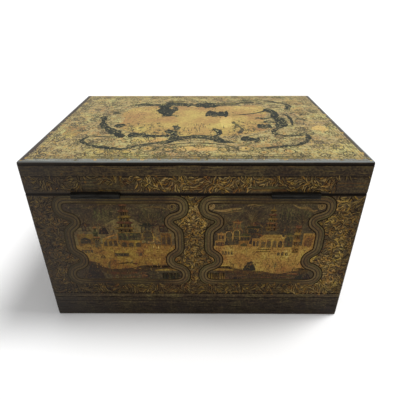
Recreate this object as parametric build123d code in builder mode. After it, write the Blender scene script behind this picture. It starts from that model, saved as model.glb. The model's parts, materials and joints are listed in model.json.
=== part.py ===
from build123d import *
import math
import os

# Tea chest: a lacquered case with a hinged lid, a mortise lock and two pewter canisters.
# X runs along the width, Y from the hinged back to the locked front, and Z up.
# The origin is on the floor, under the middle of the case.

# Case and lid, in millimetres
width = 360.0
depth = 263.0
case_height = 179.0
lid_height = 37.0
rim_gap = 0.4
wall = 12.0
bottom_thickness = 12.0
bottom_rebate = 5.0
corner_radius = 2.5
foot_bevel = 1.0
rim_bevel = 0.6
lid_edge_radius = 2.2
finger_count = 9
lid_board = 10.0
lid_tongue = 3.0
lid_finger_count = 3
tongue_clearance = 0.2

# Linings, lip and divider
lining = 3.0
lip_height = 5.0
lip_clearance = 0.8
lip_radius = 0.7
divider = 6.0
divider_groove = 1.5
divider_clearance = 0.1
scoop_radius = 70.0
scoop_depth = 26.0

# Stop butt hinges
hinge_length = 51.0
hinge_inset = 75.0
barrel_radius = 2.0
barrel_offset = 2.2
hinge_pin_radius = 1.0
hinge_pin_fit = 0.05
leaf_thickness = 1.6
leaf_reach = 9.2
leaf_fit = 0.1
knuckle_count = 5
knuckle_gap = 0.2
knuckle_clearance = 0.3
stop_height = 2.9
open_angle = 95.0
stop_clearance_angle = 1.0
hinge_screw_spacing = 18.0

# Countersunk screws
screw_radius = 1.3
screw_head_radius = 2.5
screw_head_height = 1.2
screw_length = 11.0
screw_slot = 0.6
screw_fit = 0.05

# Box lock
lock_sheet = 0.8
lock_width = 58.0
lock_drop = 29.0
lock_thickness = 6.0
pocket_fit = 0.15
plate_length = 72.0
plate_width = 8.0
plate_thickness = 1.6
plate_screw_spacing = 64.0
hook_spacing = 26.0
hook_thickness = 2.6
hook_shank = 3.0
hook_foot = 5.0
hook_foot_height = 2.4
hook_drop = 10.1
slot_fit = 0.5
bolt_thickness = 3.2
bolt_throw = 5.0
bolt_clearance = 0.5
finger_height = 4.0
finger_shoulder = 4.0
spine_height = 4.0
talon_radius = 2.4
keyhole_radius = 3.2
keyhole_slot = 2.6
keyhole_drop = 8.0
keyhole_depth = 21.0
key_nose_radius = 1.6
spring_thickness = 0.5
spring_width = 2.8
spring_flat = 2.0
spring_clearance = 0.2

# Pewter canisters
canister_clearance = 1.0
canister_height = 143.0
canister_corner = 14.0
canister_foot = 1.2
canister_shoulder = 3.0
pewter = 1.5
neck_radius = 46.0
neck_height = 9.0
lid_slip = 0.3
dome_skirt = 3.5
dome_rise = 4.7
band_height = 2.2
band_thickness = 0.8
band_bevel = 0.5
knob_seat = 7.0
knob_stem = 2.0
knob_fit = 0.1
rivet_radius = 3.4
rivet_height = 0.8
knob_height = 12.0
knob_waist = 2.6
knob_collar = 2.0
knob_base = 1.0
cap_flange = 1.2
cap_plug = 6.0
cap_button_radius = 5.0
cap_button_height = 3.6

# Places worked out from the sizes above
lid_bottom = case_height + rim_gap
total_height = lid_bottom + lid_height
inner_width = width - 2 * wall
inner_depth = depth - 2 * wall
lid_flange = lid_board - lid_tongue
rail_top = total_height - lid_flange
hinge_y = -depth / 2 - barrel_offset
hinge_z = case_height + rim_gap / 2
lock_y = depth / 2 - wall / 2
plate_bottom = case_height - plate_thickness
cell_width = (inner_width - 2 * lining - divider) / 2
cell_depth = inner_depth - 2 * lining
canister_width = cell_width - 2 * canister_clearance
canister_depth = cell_depth - 2 * canister_clearance
shoulder_z = bottom_thickness + canister_height
neck_top = shoulder_z + neck_height
sides = {"left": -1, "right": 1}
hinge_middles = {side: sign * (width / 2 - hinge_inset) for side, sign in sides.items()}
leaf_screw_y = -depth / 2 + leaf_reach / 2
leaf_screws = {
    side: [(middle + k * hinge_screw_spacing, leaf_screw_y) for k in (-1, 0, 1)]
    for side, middle in hinge_middles.items()
}
all_leaf_screws = leaf_screws["left"] + leaf_screws["right"]
plate_screws = [(sign * plate_screw_spacing / 2, lock_y) for sign in sides.values()]
sink_angle = 2 * math.degrees(
    math.atan((screw_head_radius - screw_radius) / screw_head_height)
)

os.makedirs("parts", exist_ok=True)


# The rounded outlines that all outer boards share

with BuildPart() as case_form:
    with BuildSketch():
        RectangleRounded(width, depth, corner_radius)
    extrude(amount=case_height)
    chamfer(case_form.faces().sort_by(Axis.Z)[0].edges(), foot_bevel)
    chamfer(case_form.faces().sort_by(Axis.Z)[-1].edges(), rim_bevel)

with BuildPart() as lid_form:
    with BuildSketch(Plane.XY.offset(lid_bottom)):
        RectangleRounded(width, depth, corner_radius)
    extrude(amount=lid_height)
    chamfer(lid_form.faces().sort_by(Axis.Z)[0].edges(), rim_bevel)
    fillet(lid_form.faces().sort_by(Axis.Z)[-1].edges(), lid_edge_radius)


# Screws: one blunt form, copied wherever a plate is fastened

with BuildPart() as screw:
    with BuildSketch(Plane.XZ):
        with BuildLine():
            Polyline(
                (0, 0),
                (screw_head_radius, 0),
                (screw_radius, -screw_head_height),
                (screw_radius, -screw_length),
                (0, -screw_length),
                close=True,
            )
        make_face()
    revolve(axis=Axis.Z)
    Box(2 * screw_head_radius, screw_slot, screw_head_height, mode=Mode.SUBTRACT)


def bore_screws(places, z, facing):
    # pilot holes in a rim at height z; facing is 1 for a rim that looks up and -1 for down
    for x, y in places:
        with Locations(Plane(origin=(x, y, z), z_dir=(0, 0, facing))):
            Hole(screw_radius + screw_fit, depth=screw_length)


def countersink(places, z, thickness, facing):
    # holes in a plate whose outer face is at z; the heads lie flush with that face
    for x, y in places:
        with Locations(Plane(origin=(x, y, z), z_dir=(0, 0, facing))):
            CounterSinkHole(
                radius=screw_radius + screw_fit,
                counter_sink_radius=screw_head_radius + screw_fit,
                depth=thickness,
                counter_sink_angle=sink_angle,
            )


def drive_screws(places, z, facing):
    # screws with their heads at height z, looking up or down
    for x, y in places:
        with Locations(Plane(origin=(x, y, z), z_dir=(0, 0, facing))):
            add(screw.part)


# Case boards, joined at the corners by square fingers


def clear_fingers(base, height, count, first):
    # takes away every other finger at all four corners
    pitch = height / count
    corners = [
        (x * (width - wall) / 2, y * (depth - wall) / 2)
        for x in (-1, 1)
        for y in (-1, 1)
    ]
    for k in range(first, count, 2):
        with Locations(*[(x, y, base + (k + 0.5) * pitch) for x, y in corners]):
            Box(wall, wall, pitch, mode=Mode.SUBTRACT)


def sink_leaves(rim):
    # mortises that let the hinge leaves in flush with a rim
    for middle in hinge_middles.values():
        with Locations((middle, -depth / 2, rim)):
            Box(
                hinge_length + 2 * leaf_fit,
                2 * (leaf_reach + leaf_fit),
                2 * leaf_thickness,
                mode=Mode.SUBTRACT,
            )


with BuildPart() as bottom_board:
    with BuildSketch():
        Rectangle(inner_width + 2 * bottom_rebate, inner_depth + 2 * bottom_rebate)
    extrude(amount=bottom_thickness)
    chamfer(bottom_board.faces().sort_by(Axis.Z)[0].edges(), rim_bevel)
bottom_board.part.label = "bottom_board"
export_step(bottom_board.part, "parts/bottom_board.step")


def keyhole_outline(mode):
    # a round hole with a slot for the bit below it
    with Locations((0, case_height - keyhole_depth)):
        Circle(keyhole_radius, mode=mode)
    with Locations((0, case_height - keyhole_depth - keyhole_drop / 2)):
        SlotOverall(keyhole_drop, keyhole_slot, rotation=90, mode=mode)


with BuildPart() as front_board:
    with BuildSketch():
        with Locations((0, (depth - wall) / 2)):
            Rectangle(width, wall)
    extrude(amount=case_height)
    clear_fingers(0, case_height, finger_count, 1)
    add(case_form.part, mode=Mode.INTERSECT)
    add(bottom_board.part, mode=Mode.SUBTRACT)
    # pocket for the lock, with a shallow mortise for its plate
    pocket_height = plate_thickness + lock_drop + pocket_fit
    with Locations((0, lock_y, case_height - pocket_height / 2)):
        Box(
            lock_width + 2 * pocket_fit,
            lock_thickness + 2 * pocket_fit,
            pocket_height,
            mode=Mode.SUBTRACT,
        )
    with BuildSketch(Plane.XY.offset(plate_bottom)):
        with Locations((0, lock_y)):
            SlotOverall(plate_length + 2 * pocket_fit, plate_width + 2 * pocket_fit)
    extrude(amount=plate_thickness, mode=Mode.SUBTRACT)
    with BuildSketch(Plane.XZ.offset(-depth / 2)):
        keyhole_outline(Mode.ADD)
    extrude(amount=wall / 2, mode=Mode.SUBTRACT)
    bore_screws(plate_screws, plate_bottom, facing=1)
front_board.part.label = "front_board"
export_step(front_board.part, "parts/front_board.step")

with BuildPart() as back_board:
    with BuildSketch():
        with Locations((0, (wall - depth) / 2)):
            Rectangle(width, wall)
    extrude(amount=case_height)
    clear_fingers(0, case_height, finger_count, 1)
    add(case_form.part, mode=Mode.INTERSECT)
    add(bottom_board.part, mode=Mode.SUBTRACT)
    sink_leaves(case_height)
    bore_screws(all_leaf_screws, case_height - leaf_thickness, facing=1)
back_board.part.label = "back_board"
export_step(back_board.part, "parts/back_board.step")

for side, sign in sides.items():
    with BuildPart() as end_board:
        with BuildSketch():
            with Locations((sign * (width - wall) / 2, 0)):
                Rectangle(wall, depth)
        extrude(amount=case_height)
        clear_fingers(0, case_height, finger_count, 0)
        add(case_form.part, mode=Mode.INTERSECT)
        add(bottom_board.part, mode=Mode.SUBTRACT)
    end_board.part.label = f"{side}_board"
    export_step(end_board.part, f"parts/{side}_board.step")


# Linings stand on the bottom board and rise above the rim as the lip

lining_height = case_height + lip_height - bottom_thickness


with BuildPart() as lip_space:
    # above the rim the lip is set back, so that the lid passes it freely
    with BuildSketch(Plane.XY.offset(case_height)):
        Rectangle(width, depth)
        Rectangle(
            inner_width - 2 * lip_clearance,
            inner_depth - 2 * lip_clearance,
            mode=Mode.SUBTRACT,
        )
    extrude(amount=lip_height)


def round_lip(builder, axis):
    top = builder.faces().sort_by(Axis.Z)[-1]
    fillet(top.edges().filter_by(axis), lip_radius)


for side, sign in {"front": 1, "back": -1}.items():
    with BuildPart() as long_lining:
        with BuildSketch(Plane.XY.offset(bottom_thickness)):
            with Locations((0, sign * (inner_depth - lining) / 2)):
                Rectangle(inner_width, lining)
        extrude(amount=lining_height)
        add(lip_space.part, mode=Mode.SUBTRACT)
        round_lip(long_lining, Axis.X)
        with BuildSketch(Plane.XY.offset(bottom_thickness)):
            with Locations((0, sign * (inner_depth / 2 - lining))):
                Rectangle(divider + 2 * divider_clearance, 2 * divider_groove)
        extrude(amount=canister_height + divider_clearance, mode=Mode.SUBTRACT)
    long_lining.part.label = f"{side}_lining"
    export_step(long_lining.part, f"parts/{side}_lining.step")

for side, sign in sides.items():
    with BuildPart() as short_lining:
        with BuildSketch(Plane.XY.offset(bottom_thickness)):
            with Locations((sign * (inner_width - lining) / 2, 0)):
                Rectangle(lining, inner_depth - 2 * lining)
        extrude(amount=lining_height)
        add(lip_space.part, mode=Mode.SUBTRACT)
        round_lip(short_lining, Axis.Y)
    short_lining.part.label = f"{side}_lining"
    export_step(short_lining.part, f"parts/{side}_lining.step")

with BuildPart() as divider_board:
    groove_bottom = cell_depth + 2 * (divider_groove - divider_clearance)
    with BuildSketch(Plane.YZ.offset(-divider / 2)):
        with Locations((0, bottom_thickness + canister_height / 2)):
            Rectangle(groove_bottom, canister_height)
        with Locations((0, shoulder_z + scoop_radius - scoop_depth)):
            Circle(scoop_radius, mode=Mode.SUBTRACT)
    extrude(amount=divider)
    scoop = divider_board.faces().filter_by(GeomType.CYLINDER).edges().filter_by(GeomType.CIRCLE)
    fillet(scoop, divider / 4)
divider_board.part.label = "divider"
export_step(divider_board.part, "parts/divider.step")


# Lid: a top board with a tongue that drops between four rails

with BuildPart() as lid_top:
    with BuildSketch(Plane.XY.offset(rail_top)):
        Rectangle(width, depth)
    extrude(amount=lid_flange)
    with BuildSketch(Plane.XY.offset(rail_top)):
        Rectangle(inner_width - 2 * tongue_clearance, inner_depth - 2 * tongue_clearance)
    extrude(amount=-lid_tongue)
    chamfer(lid_top.faces().sort_by(Axis.Z)[0].edges(), rim_bevel)
    add(lid_form.part, mode=Mode.INTERSECT)
lid_top.part.label = "lid_top"
export_step(lid_top.part, "parts/lid_top.step")

rail_height = rail_top - lid_bottom

with BuildPart() as lid_front_rail:
    with BuildSketch(Plane.XY.offset(lid_bottom)):
        with Locations((0, (depth - wall) / 2)):
            Rectangle(width, wall)
    extrude(amount=rail_height)
    clear_fingers(lid_bottom, rail_height, lid_finger_count, 1)
    add(lid_form.part, mode=Mode.INTERSECT)
    with BuildSketch(Plane.XY.offset(lid_bottom)):
        with Locations((0, lock_y)):
            SlotOverall(plate_length + 2 * pocket_fit, plate_width + 2 * pocket_fit)
    extrude(amount=plate_thickness, mode=Mode.SUBTRACT)
    bore_screws(plate_screws, lid_bottom + plate_thickness, facing=-1)
lid_front_rail.part.label = "lid_front_rail"
export_step(lid_front_rail.part, "parts/lid_front_rail.step")

with BuildPart() as lid_back_rail:
    with BuildSketch(Plane.XY.offset(lid_bottom)):
        with Locations((0, (wall - depth) / 2)):
            Rectangle(width, wall)
    extrude(amount=rail_height)
    clear_fingers(lid_bottom, rail_height, lid_finger_count, 1)
    add(lid_form.part, mode=Mode.INTERSECT)
    sink_leaves(lid_bottom)
    bore_screws(all_leaf_screws, lid_bottom + leaf_thickness, facing=-1)
lid_back_rail.part.label = "lid_back_rail"
export_step(lid_back_rail.part, "parts/lid_back_rail.step")

for side, sign in sides.items():
    with BuildPart() as end_rail:
        with BuildSketch(Plane.XY.offset(lid_bottom)):
            with Locations((sign * (width - wall) / 2, 0)):
                Rectangle(wall, depth)
        extrude(amount=rail_height)
        clear_fingers(lid_bottom, rail_height, lid_finger_count, 0)
        add(lid_form.part, mode=Mode.INTERSECT)
    end_rail.part.label = f"lid_{side}_rail"
    export_step(end_rail.part, f"parts/lid_{side}_rail.step")


# Stop butt hinges. The stops meet behind the barrel and hold the lid at its open angle

knuckle_pitch = hinge_length / knuckle_count
stop_angle = math.radians((open_angle + stop_clearance_angle) / 2)
stop_reach = stop_height / math.tan(stop_angle)


def barrel_plane(x):
    # looks along the hinge line: Y across and Z up, from the middle of the barrel
    return Plane(origin=(x, hinge_y, hinge_z), x_dir=(0, 1, 0), z_dir=(1, 0, 0))


def leaf_section(facing):
    # plate in the rim and stop against the back, both beside the barrel
    near = facing * rim_gap / 2
    far = facing * (rim_gap / 2 + leaf_thickness)
    Polygon(
        (0, near),
        (0, 0),
        (-stop_reach, facing * stop_height),
        (barrel_offset, facing * stop_height),
        (barrel_offset, far),
        (barrel_offset + leaf_reach, far),
        (barrel_offset + leaf_reach, near),
        align=None,
    )


def hinge_leaf(middle, facing, knuckles):
    # the whole section less the space of the barrel, then this leaf's own knuckles
    start = middle - hinge_length / 2
    with BuildSketch(barrel_plane(start)) as plate:
        leaf_section(facing)
        Circle(barrel_radius + knuckle_clearance, mode=Mode.SUBTRACT)
    extrude(plate.sketch, amount=hinge_length)
    for k in knuckles:
        low = start + k * knuckle_pitch + (knuckle_gap / 2 if k > 0 else 0)
        high = start + (k + 1) * knuckle_pitch - (knuckle_gap / 2 if k < knuckle_count - 1 else 0)
        with BuildSketch(barrel_plane(low)) as knuckle:
            leaf_section(facing)
            Circle(barrel_radius)
        extrude(knuckle.sketch, amount=high - low)
    with BuildSketch(barrel_plane(start)) as pin_hole:
        Circle(hinge_pin_radius + hinge_pin_fit)
    extrude(pin_hole.sketch, amount=hinge_length, mode=Mode.SUBTRACT)


for side, middle in hinge_middles.items():
    with BuildPart() as case_leaf:
        hinge_leaf(middle, -1, range(0, knuckle_count, 2))
        countersink(leaf_screws[side], case_height, leaf_thickness, facing=1)
    case_leaf.part.label = f"{side}_case_leaf"
    export_step(case_leaf.part, f"parts/{side}_case_leaf.step")

    with BuildPart() as lid_leaf:
        hinge_leaf(middle, 1, range(1, knuckle_count, 2))
        countersink(leaf_screws[side], lid_bottom, leaf_thickness, facing=-1)
    lid_leaf.part.label = f"{side}_lid_leaf"
    export_step(lid_leaf.part, f"parts/{side}_lid_leaf.step")

    with BuildPart() as hinge_pin:
        with BuildSketch(barrel_plane(middle - hinge_length / 2)):
            Circle(hinge_pin_radius)
        extrude(amount=hinge_length)
        chamfer(hinge_pin.edges().filter_by(GeomType.CIRCLE), hinge_pin_radius / 3)
    hinge_pin.part.label = f"{side}_hinge_pin"
    export_step(hinge_pin.part, f"parts/{side}_hinge_pin.step")

with BuildPart() as case_leaf_screws:
    drive_screws(all_leaf_screws, case_height, facing=1)
case_leaf_screws.part.label = "case_leaf_screws"
export_step(case_leaf_screws.part, "parts/case_leaf_screws.step")

with BuildPart() as lid_leaf_screws:
    drive_screws(all_leaf_screws, lid_bottom, facing=-1)
lid_leaf_screws.part.label = "lid_leaf_screws"
export_step(lid_leaf_screws.part, "parts/lid_leaf_screws.step")


# Box lock: a sliding bolt whose two fingers catch the hooks that the lid brings down

box_middle = plate_bottom - lock_drop / 2
hook_middles = [sign * hook_spacing / 2 for sign in sides.values()]
hook_half = (hook_foot + hook_shank) / 2
hook_bottom = case_height - hook_drop
foot_top = hook_bottom + hook_foot_height
finger_bottom = foot_top + bolt_clearance
spine_top = hook_bottom - bolt_clearance
front_sheet = lock_y + lock_thickness / 2

with BuildPart() as lock_case:
    with BuildSketch(Plane.XY.offset(plate_bottom)):
        with Locations((0, lock_y)):
            SlotOverall(plate_length, plate_width)
    extrude(amount=plate_thickness)
    with BuildSketch(Plane.XZ.offset(lock_sheet - front_sheet)):
        with Locations((0, box_middle)):
            Rectangle(lock_width, lock_drop)
    extrude(amount=lock_thickness - lock_sheet)
    with BuildSketch(Plane.XZ.offset(lock_sheet - front_sheet)):
        with Locations((0, box_middle + lock_sheet / 2)):
            Rectangle(lock_width - 2 * lock_sheet, lock_drop - lock_sheet)
    extrude(amount=lock_thickness - 2 * lock_sheet, mode=Mode.SUBTRACT)
    with Locations(*[(x, lock_y, case_height) for x in hook_middles]):
        Box(
            2 * (hook_half + slot_fit),
            hook_thickness + 2 * slot_fit,
            3 * plate_thickness,
            mode=Mode.SUBTRACT,
        )
    with BuildSketch(Plane.XZ.offset(-lock_y)):
        with Locations((0, case_height - keyhole_depth)):
            Circle(key_nose_radius)
    extrude(amount=lock_thickness, mode=Mode.SUBTRACT)
    countersink(plate_screws, case_height, plate_thickness, facing=1)
lock_case.part.label = "lock_case"
export_step(lock_case.part, "parts/lock_case.step")

with BuildPart() as lock_cap:
    with BuildSketch(Plane.XZ.offset(-front_sheet)):
        with Locations((0, box_middle)):
            Rectangle(lock_width, lock_drop)
        keyhole_outline(Mode.SUBTRACT)
    extrude(amount=lock_sheet)
lock_cap.part.label = "lock_cap"
export_step(lock_cap.part, "parts/lock_cap.step")

with BuildPart() as lock_bolt:
    finger_tips = [x - hook_half - bolt_clearance for x in hook_middles]
    finger_length = bolt_throw + bolt_clearance
    spine_left = finger_tips[0] - finger_length - finger_shoulder
    spine_right = finger_tips[1]
    with BuildSketch(Plane.XZ.offset(-lock_y - bolt_thickness / 2)):
        with Locations(((spine_left + spine_right) / 2, spine_top - spine_height / 2)):
            Rectangle(spine_right - spine_left, spine_height)
        for tip in finger_tips:
            root = tip - finger_length
            with BuildLine():
                Polyline(
                    (root - finger_shoulder, spine_top),
                    (root - finger_shoulder, finger_bottom + finger_height),
                    (tip, finger_bottom + finger_height),
                    (tip, finger_bottom),
                    (root, finger_bottom),
                    (root, spine_top),
                    close=True,
                )
            make_face()
        with Locations((-bolt_throw / 2, spine_top - spine_height)):
            Circle(talon_radius, mode=Mode.SUBTRACT)
    extrude(amount=bolt_thickness)
lock_bolt.part.label = "lock_bolt"
export_step(lock_bolt.part, "parts/lock_bolt.step")

with BuildPart() as lock_spring:
    # a strip bent in a half round: one end under the plate, the other above the spine
    spring_end = finger_tips[1] - finger_length - finger_shoulder - bolt_clearance
    spring_bend = spring_end - spring_flat
    spring_high = plate_bottom - spring_thickness / 2
    spring_low = spine_top + spring_clearance + spring_thickness / 2
    with BuildSketch(Plane.XZ.offset(-lock_y - spring_width / 2)):
        with BuildLine():
            Line((spring_end, spring_high), (spring_bend, spring_high))
            TangentArc(
                (spring_bend, spring_high), (spring_bend, spring_low), tangent=(-1, 0)
            )
            Line((spring_bend, spring_low), (spring_end, spring_low))
        trace(line_width=spring_thickness)
    extrude(amount=spring_width)
lock_spring.part.label = "lock_spring"
export_step(lock_spring.part, "parts/lock_spring.step")

with BuildPart() as lock_screws:
    drive_screws(plate_screws, case_height, facing=1)
lock_screws.part.label = "lock_screws"
export_step(lock_screws.part, "parts/lock_screws.step")

with BuildPart() as strike_plate:
    with BuildSketch(Plane.XY.offset(lid_bottom)):
        with Locations((0, lock_y)):
            SlotOverall(plate_length, plate_width)
    extrude(amount=plate_thickness)
    with BuildSketch(Plane.XZ.offset(-lock_y - hook_thickness / 2)):
        for middle in hook_middles:
            with BuildLine():
                Polyline(
                    (middle + hook_half - hook_shank, lid_bottom),
                    (middle + hook_half - hook_shank, foot_top),
                    (middle - hook_half, foot_top),
                    (middle - hook_half, hook_bottom),
                    (middle + hook_half, hook_bottom),
                    (middle + hook_half, lid_bottom),
                    close=True,
                )
            make_face()
    extrude(amount=hook_thickness)
    countersink(plate_screws, lid_bottom, plate_thickness, facing=-1)
strike_plate.part.label = "strike_plate"
export_step(strike_plate.part, "parts/strike_plate.step")

with BuildPart() as strike_screws:
    drive_screws(plate_screws, lid_bottom, facing=-1)
strike_screws.part.label = "strike_screws"
export_step(strike_screws.part, "parts/strike_screws.step")


# Canisters: a soldered pewter box with a round neck, a slip lid and an inner cap

slip_radius = neck_radius + lid_slip
skirt_radius = slip_radius + pewter
band_radius = skirt_radius + band_thickness
skirt_top = neck_top + dome_skirt
skirt_under = skirt_top - pewter
dome_top = skirt_top + dome_rise
dome_under = dome_top - pewter
cap_top = neck_top + cap_flange
plug_radius = neck_radius - pewter - lid_slip

for side, sign in sides.items():
    middle = sign * (divider + cell_width) / 2
    upright = Axis((middle, 0, 0), (0, 0, 1))
    profile_plane = Plane(origin=(middle, 0, 0), x_dir=(1, 0, 0), z_dir=(0, -1, 0))

    with BuildPart() as canister:
        with BuildSketch(Plane.XY.offset(bottom_thickness)):
            with Locations((middle, 0)):
                RectangleRounded(canister_width, canister_depth, canister_corner)
        extrude(amount=canister_height)
        fillet(canister.faces().sort_by(Axis.Z)[-1].edges(), canister_shoulder)
        chamfer(canister.faces().sort_by(Axis.Z)[0].edges(), canister_foot)
        with BuildSketch(Plane.XY.offset(shoulder_z)):
            with Locations((middle, 0)):
                Circle(neck_radius)
        extrude(amount=neck_height)
        with BuildSketch(Plane.XY.offset(bottom_thickness + pewter)):
            with Locations((middle, 0)):
                RectangleRounded(
                    canister_width - 2 * pewter,
                    canister_depth - 2 * pewter,
                    canister_corner - pewter,
                )
        extrude(amount=canister_height - 2 * pewter, mode=Mode.SUBTRACT)
        with BuildSketch(Plane.XY.offset(neck_top)):
            with Locations((middle, 0)):
                Circle(neck_radius - pewter)
        extrude(amount=-neck_height - 2 * pewter, mode=Mode.SUBTRACT)
    canister.part.label = f"{side}_canister"
    export_step(canister.part, f"parts/{side}_canister.step")

    with BuildPart() as canister_lid:
        with BuildSketch(profile_plane):
            with BuildLine():
                TangentArc((knob_seat, dome_top), (skirt_radius, skirt_top), tangent=(1, 0))
                Polyline(
                    (knob_seat, dome_top),
                    (knob_stem, dome_top),
                    (knob_stem, dome_under),
                    (knob_seat, dome_under),
                )
                TangentArc((knob_seat, dome_under), (slip_radius, skirt_under), tangent=(1, 0))
                Polyline(
                    (slip_radius, skirt_under),
                    (slip_radius, shoulder_z),
                    (band_radius - band_bevel, shoulder_z),
                    (band_radius, shoulder_z + band_bevel),
                    (band_radius, shoulder_z + band_height - band_bevel),
                    (band_radius - band_bevel, shoulder_z + band_height),
                    (skirt_radius, shoulder_z + band_height),
                    (skirt_radius, skirt_top),
                )
            make_face()
        revolve(axis=upright)
    canister_lid.part.label = f"{side}_canister_lid"
    export_step(canister_lid.part, f"parts/{side}_canister_lid.step")

    with BuildPart() as lid_knob:
        stem = knob_stem - knob_fit
        base_top = dome_top + knob_base
        collar_top = base_top + knob_collar
        knob_top = dome_top + knob_height
        with BuildSketch(profile_plane):
            with BuildLine():
                Polyline(
                    (0, dome_under - rivet_height),
                    (rivet_radius, dome_under - rivet_height),
                    (rivet_radius, dome_under),
                    (stem, dome_under),
                    (stem, dome_top),
                    (knob_seat - knob_fit, dome_top),
                    (knob_seat - knob_fit, base_top),
                    (knob_waist + knob_collar, base_top),
                    (knob_waist, collar_top),
                )
                TangentArc((0, knob_top), (knob_waist, collar_top), tangent=(1, 0))
                Line((0, knob_top), (0, dome_under - rivet_height))
            make_face()
        revolve(axis=upright)
    lid_knob.part.label = f"{side}_lid_knob"
    export_step(lid_knob.part, f"parts/{side}_lid_knob.step")

    with BuildPart() as inner_cap:
        button_edge = (cap_button_radius, cap_top + cap_button_height / 2)
        button_crown = (0, cap_top + cap_button_height)
        with BuildSketch(profile_plane):
            with BuildLine():
                Polyline(
                    (0, neck_top),
                    (plug_radius - pewter, neck_top),
                    (plug_radius - pewter, neck_top - cap_plug),
                    (plug_radius, neck_top - cap_plug),
                    (plug_radius, neck_top),
                    (neck_radius, neck_top),
                    (neck_radius, cap_top),
                    (cap_button_radius, cap_top),
                    button_edge,
                )
                TangentArc(button_crown, button_edge, tangent=(1, 0))
                Line(button_crown, (0, neck_top))
            make_face()
        revolve(axis=upright)
    inner_cap.part.label = f"{side}_inner_cap"
    export_step(inner_cap.part, f"parts/{side}_inner_cap.step")
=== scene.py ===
import json
import math
import random

import bpy
from mathutils import Matrix, Vector


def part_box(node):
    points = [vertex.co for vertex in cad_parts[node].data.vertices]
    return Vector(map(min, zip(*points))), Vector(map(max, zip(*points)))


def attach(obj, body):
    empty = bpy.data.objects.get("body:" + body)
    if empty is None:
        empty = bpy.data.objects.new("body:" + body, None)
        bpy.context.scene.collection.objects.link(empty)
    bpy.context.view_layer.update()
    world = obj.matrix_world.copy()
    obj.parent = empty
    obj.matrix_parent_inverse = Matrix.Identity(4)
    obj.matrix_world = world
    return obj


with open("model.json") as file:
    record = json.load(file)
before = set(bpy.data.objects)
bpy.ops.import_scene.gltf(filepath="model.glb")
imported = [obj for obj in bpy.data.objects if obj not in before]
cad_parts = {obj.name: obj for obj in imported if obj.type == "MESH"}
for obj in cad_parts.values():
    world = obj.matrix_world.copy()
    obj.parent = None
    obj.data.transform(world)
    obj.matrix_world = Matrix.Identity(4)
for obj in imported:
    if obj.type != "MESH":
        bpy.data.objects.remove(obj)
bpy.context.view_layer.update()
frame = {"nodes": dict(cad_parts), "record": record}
print("frame loaded:", len(frame["nodes"]), "nodes")

mm = 0.001

# The chest's own lines, read from the frame and kept in millimetres
chest = {
    "halfWidth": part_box("right_board")[1].x / mm,
    "halfDepth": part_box("right_board")[1].y / mm,
    "rim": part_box("back_board")[1].z / mm,
    "lidTop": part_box("lid_top")[1].z / mm,
}


def linear(hexColour):
    # sRGB hex to the linear values that Blender's sockets take
    parts = [int(hexColour[k:k + 2], 16) / 255 for k in (1, 3, 5)]
    return [p / 12.92 if p <= 0.04045 else ((p + 0.055) / 1.055) ** 2.4 for p in parts] + [1.0]


def perMetre(size):
    # texture scale for a pattern whose repeat is size millimetres
    return 1 / (size * mm)


def addNode(tree, kind, inputs, **settings):
    # adds one node with its settings; an input is linked if it is given another node's output, or else set
    node = tree.nodes.new("ShaderNode" + kind)
    for name, value in settings.items():
        setattr(node, name, value)
    for key, value in inputs.items():
        if isinstance(value, bpy.types.NodeSocket):
            tree.links.new(value, node.inputs[key])
        else:
            node.inputs[key].default_value = value
    return node


def maths(tree, operation, *inputs):
    return addNode(tree, "Math", dict(enumerate(inputs)), operation=operation).outputs[0]


def remap(tree, value, start, end, low=0.0, high=1.0):
    # low at start, high at end, straight between them and held beyond
    ends = {"From Min": start, "From Max": end, "To Min": low, "To Max": high}
    return addNode(tree, "MapRange", {"Value": value, **ends}).outputs["Result"]


def noise(tree, place, size, detail, roughness):
    # smooth noise with lumps of size millimetres
    settings = {"Scale": perMetre(size), "Detail": detail, "Roughness": roughness}
    return addNode(tree, "TexNoise", {"Vector": place, **settings}).outputs["Fac"]


def ramp(tree, level, stops):
    node = addNode(tree, "ValToRGB", {"Fac": level})
    elements = node.color_ramp.elements
    while len(elements) < len(stops):
        elements.new(0.5)
    for element, (place, colour) in zip(elements, stops):
        element.position, element.color = place, linear(colour)
    return node.outputs["Color"]


def blend(tree, share, colour, under):
    # a share of one hex colour laid over what is under it
    return addNode(tree, "Mix", {0: share, 6: under, 7: linear(colour)}, data_type="RGBA").outputs[2]


def newFinish(name):
    material = bpy.data.materials.new(name)
    material.use_nodes = True
    material.node_tree.nodes.clear()
    return material, material.node_tree


def restPlace(tree):
    # places on the part at rest, which ride with it when it moves
    return addNode(tree, "TexCoord", {}).outputs["Object"]


def axesOf(tree, place):
    return addNode(tree, "SeparateXYZ", {"Vector": place}).outputs


def closeFinish(tree, shader, height, relief):
    # shader, bump of relief millimetres and output
    bump = addNode(tree, "Bump", {"Strength": 1.0, "Distance": relief * mm, "Height": height})
    surface = addNode(tree, "BsdfPrincipled", {**shader, "Normal": bump.outputs["Normal"]})
    addNode(tree, "OutputMaterial", {"Surface": surface.outputs["BSDF"]})


# The left end has stood in damp or light: its coats are greyer there. Distances in millimetres along x.
ageing = {"colour": "#403C3A", "clear": -95, "full": -178, "most": 0.55}


def aged(tree, place, colour):
    share = remap(tree, axesOf(tree, place)["X"], ageing["clear"] * mm, ageing["full"] * mm, 0.0, ageing["most"])
    return blend(tree, share, ageing["colour"], colour)


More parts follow.
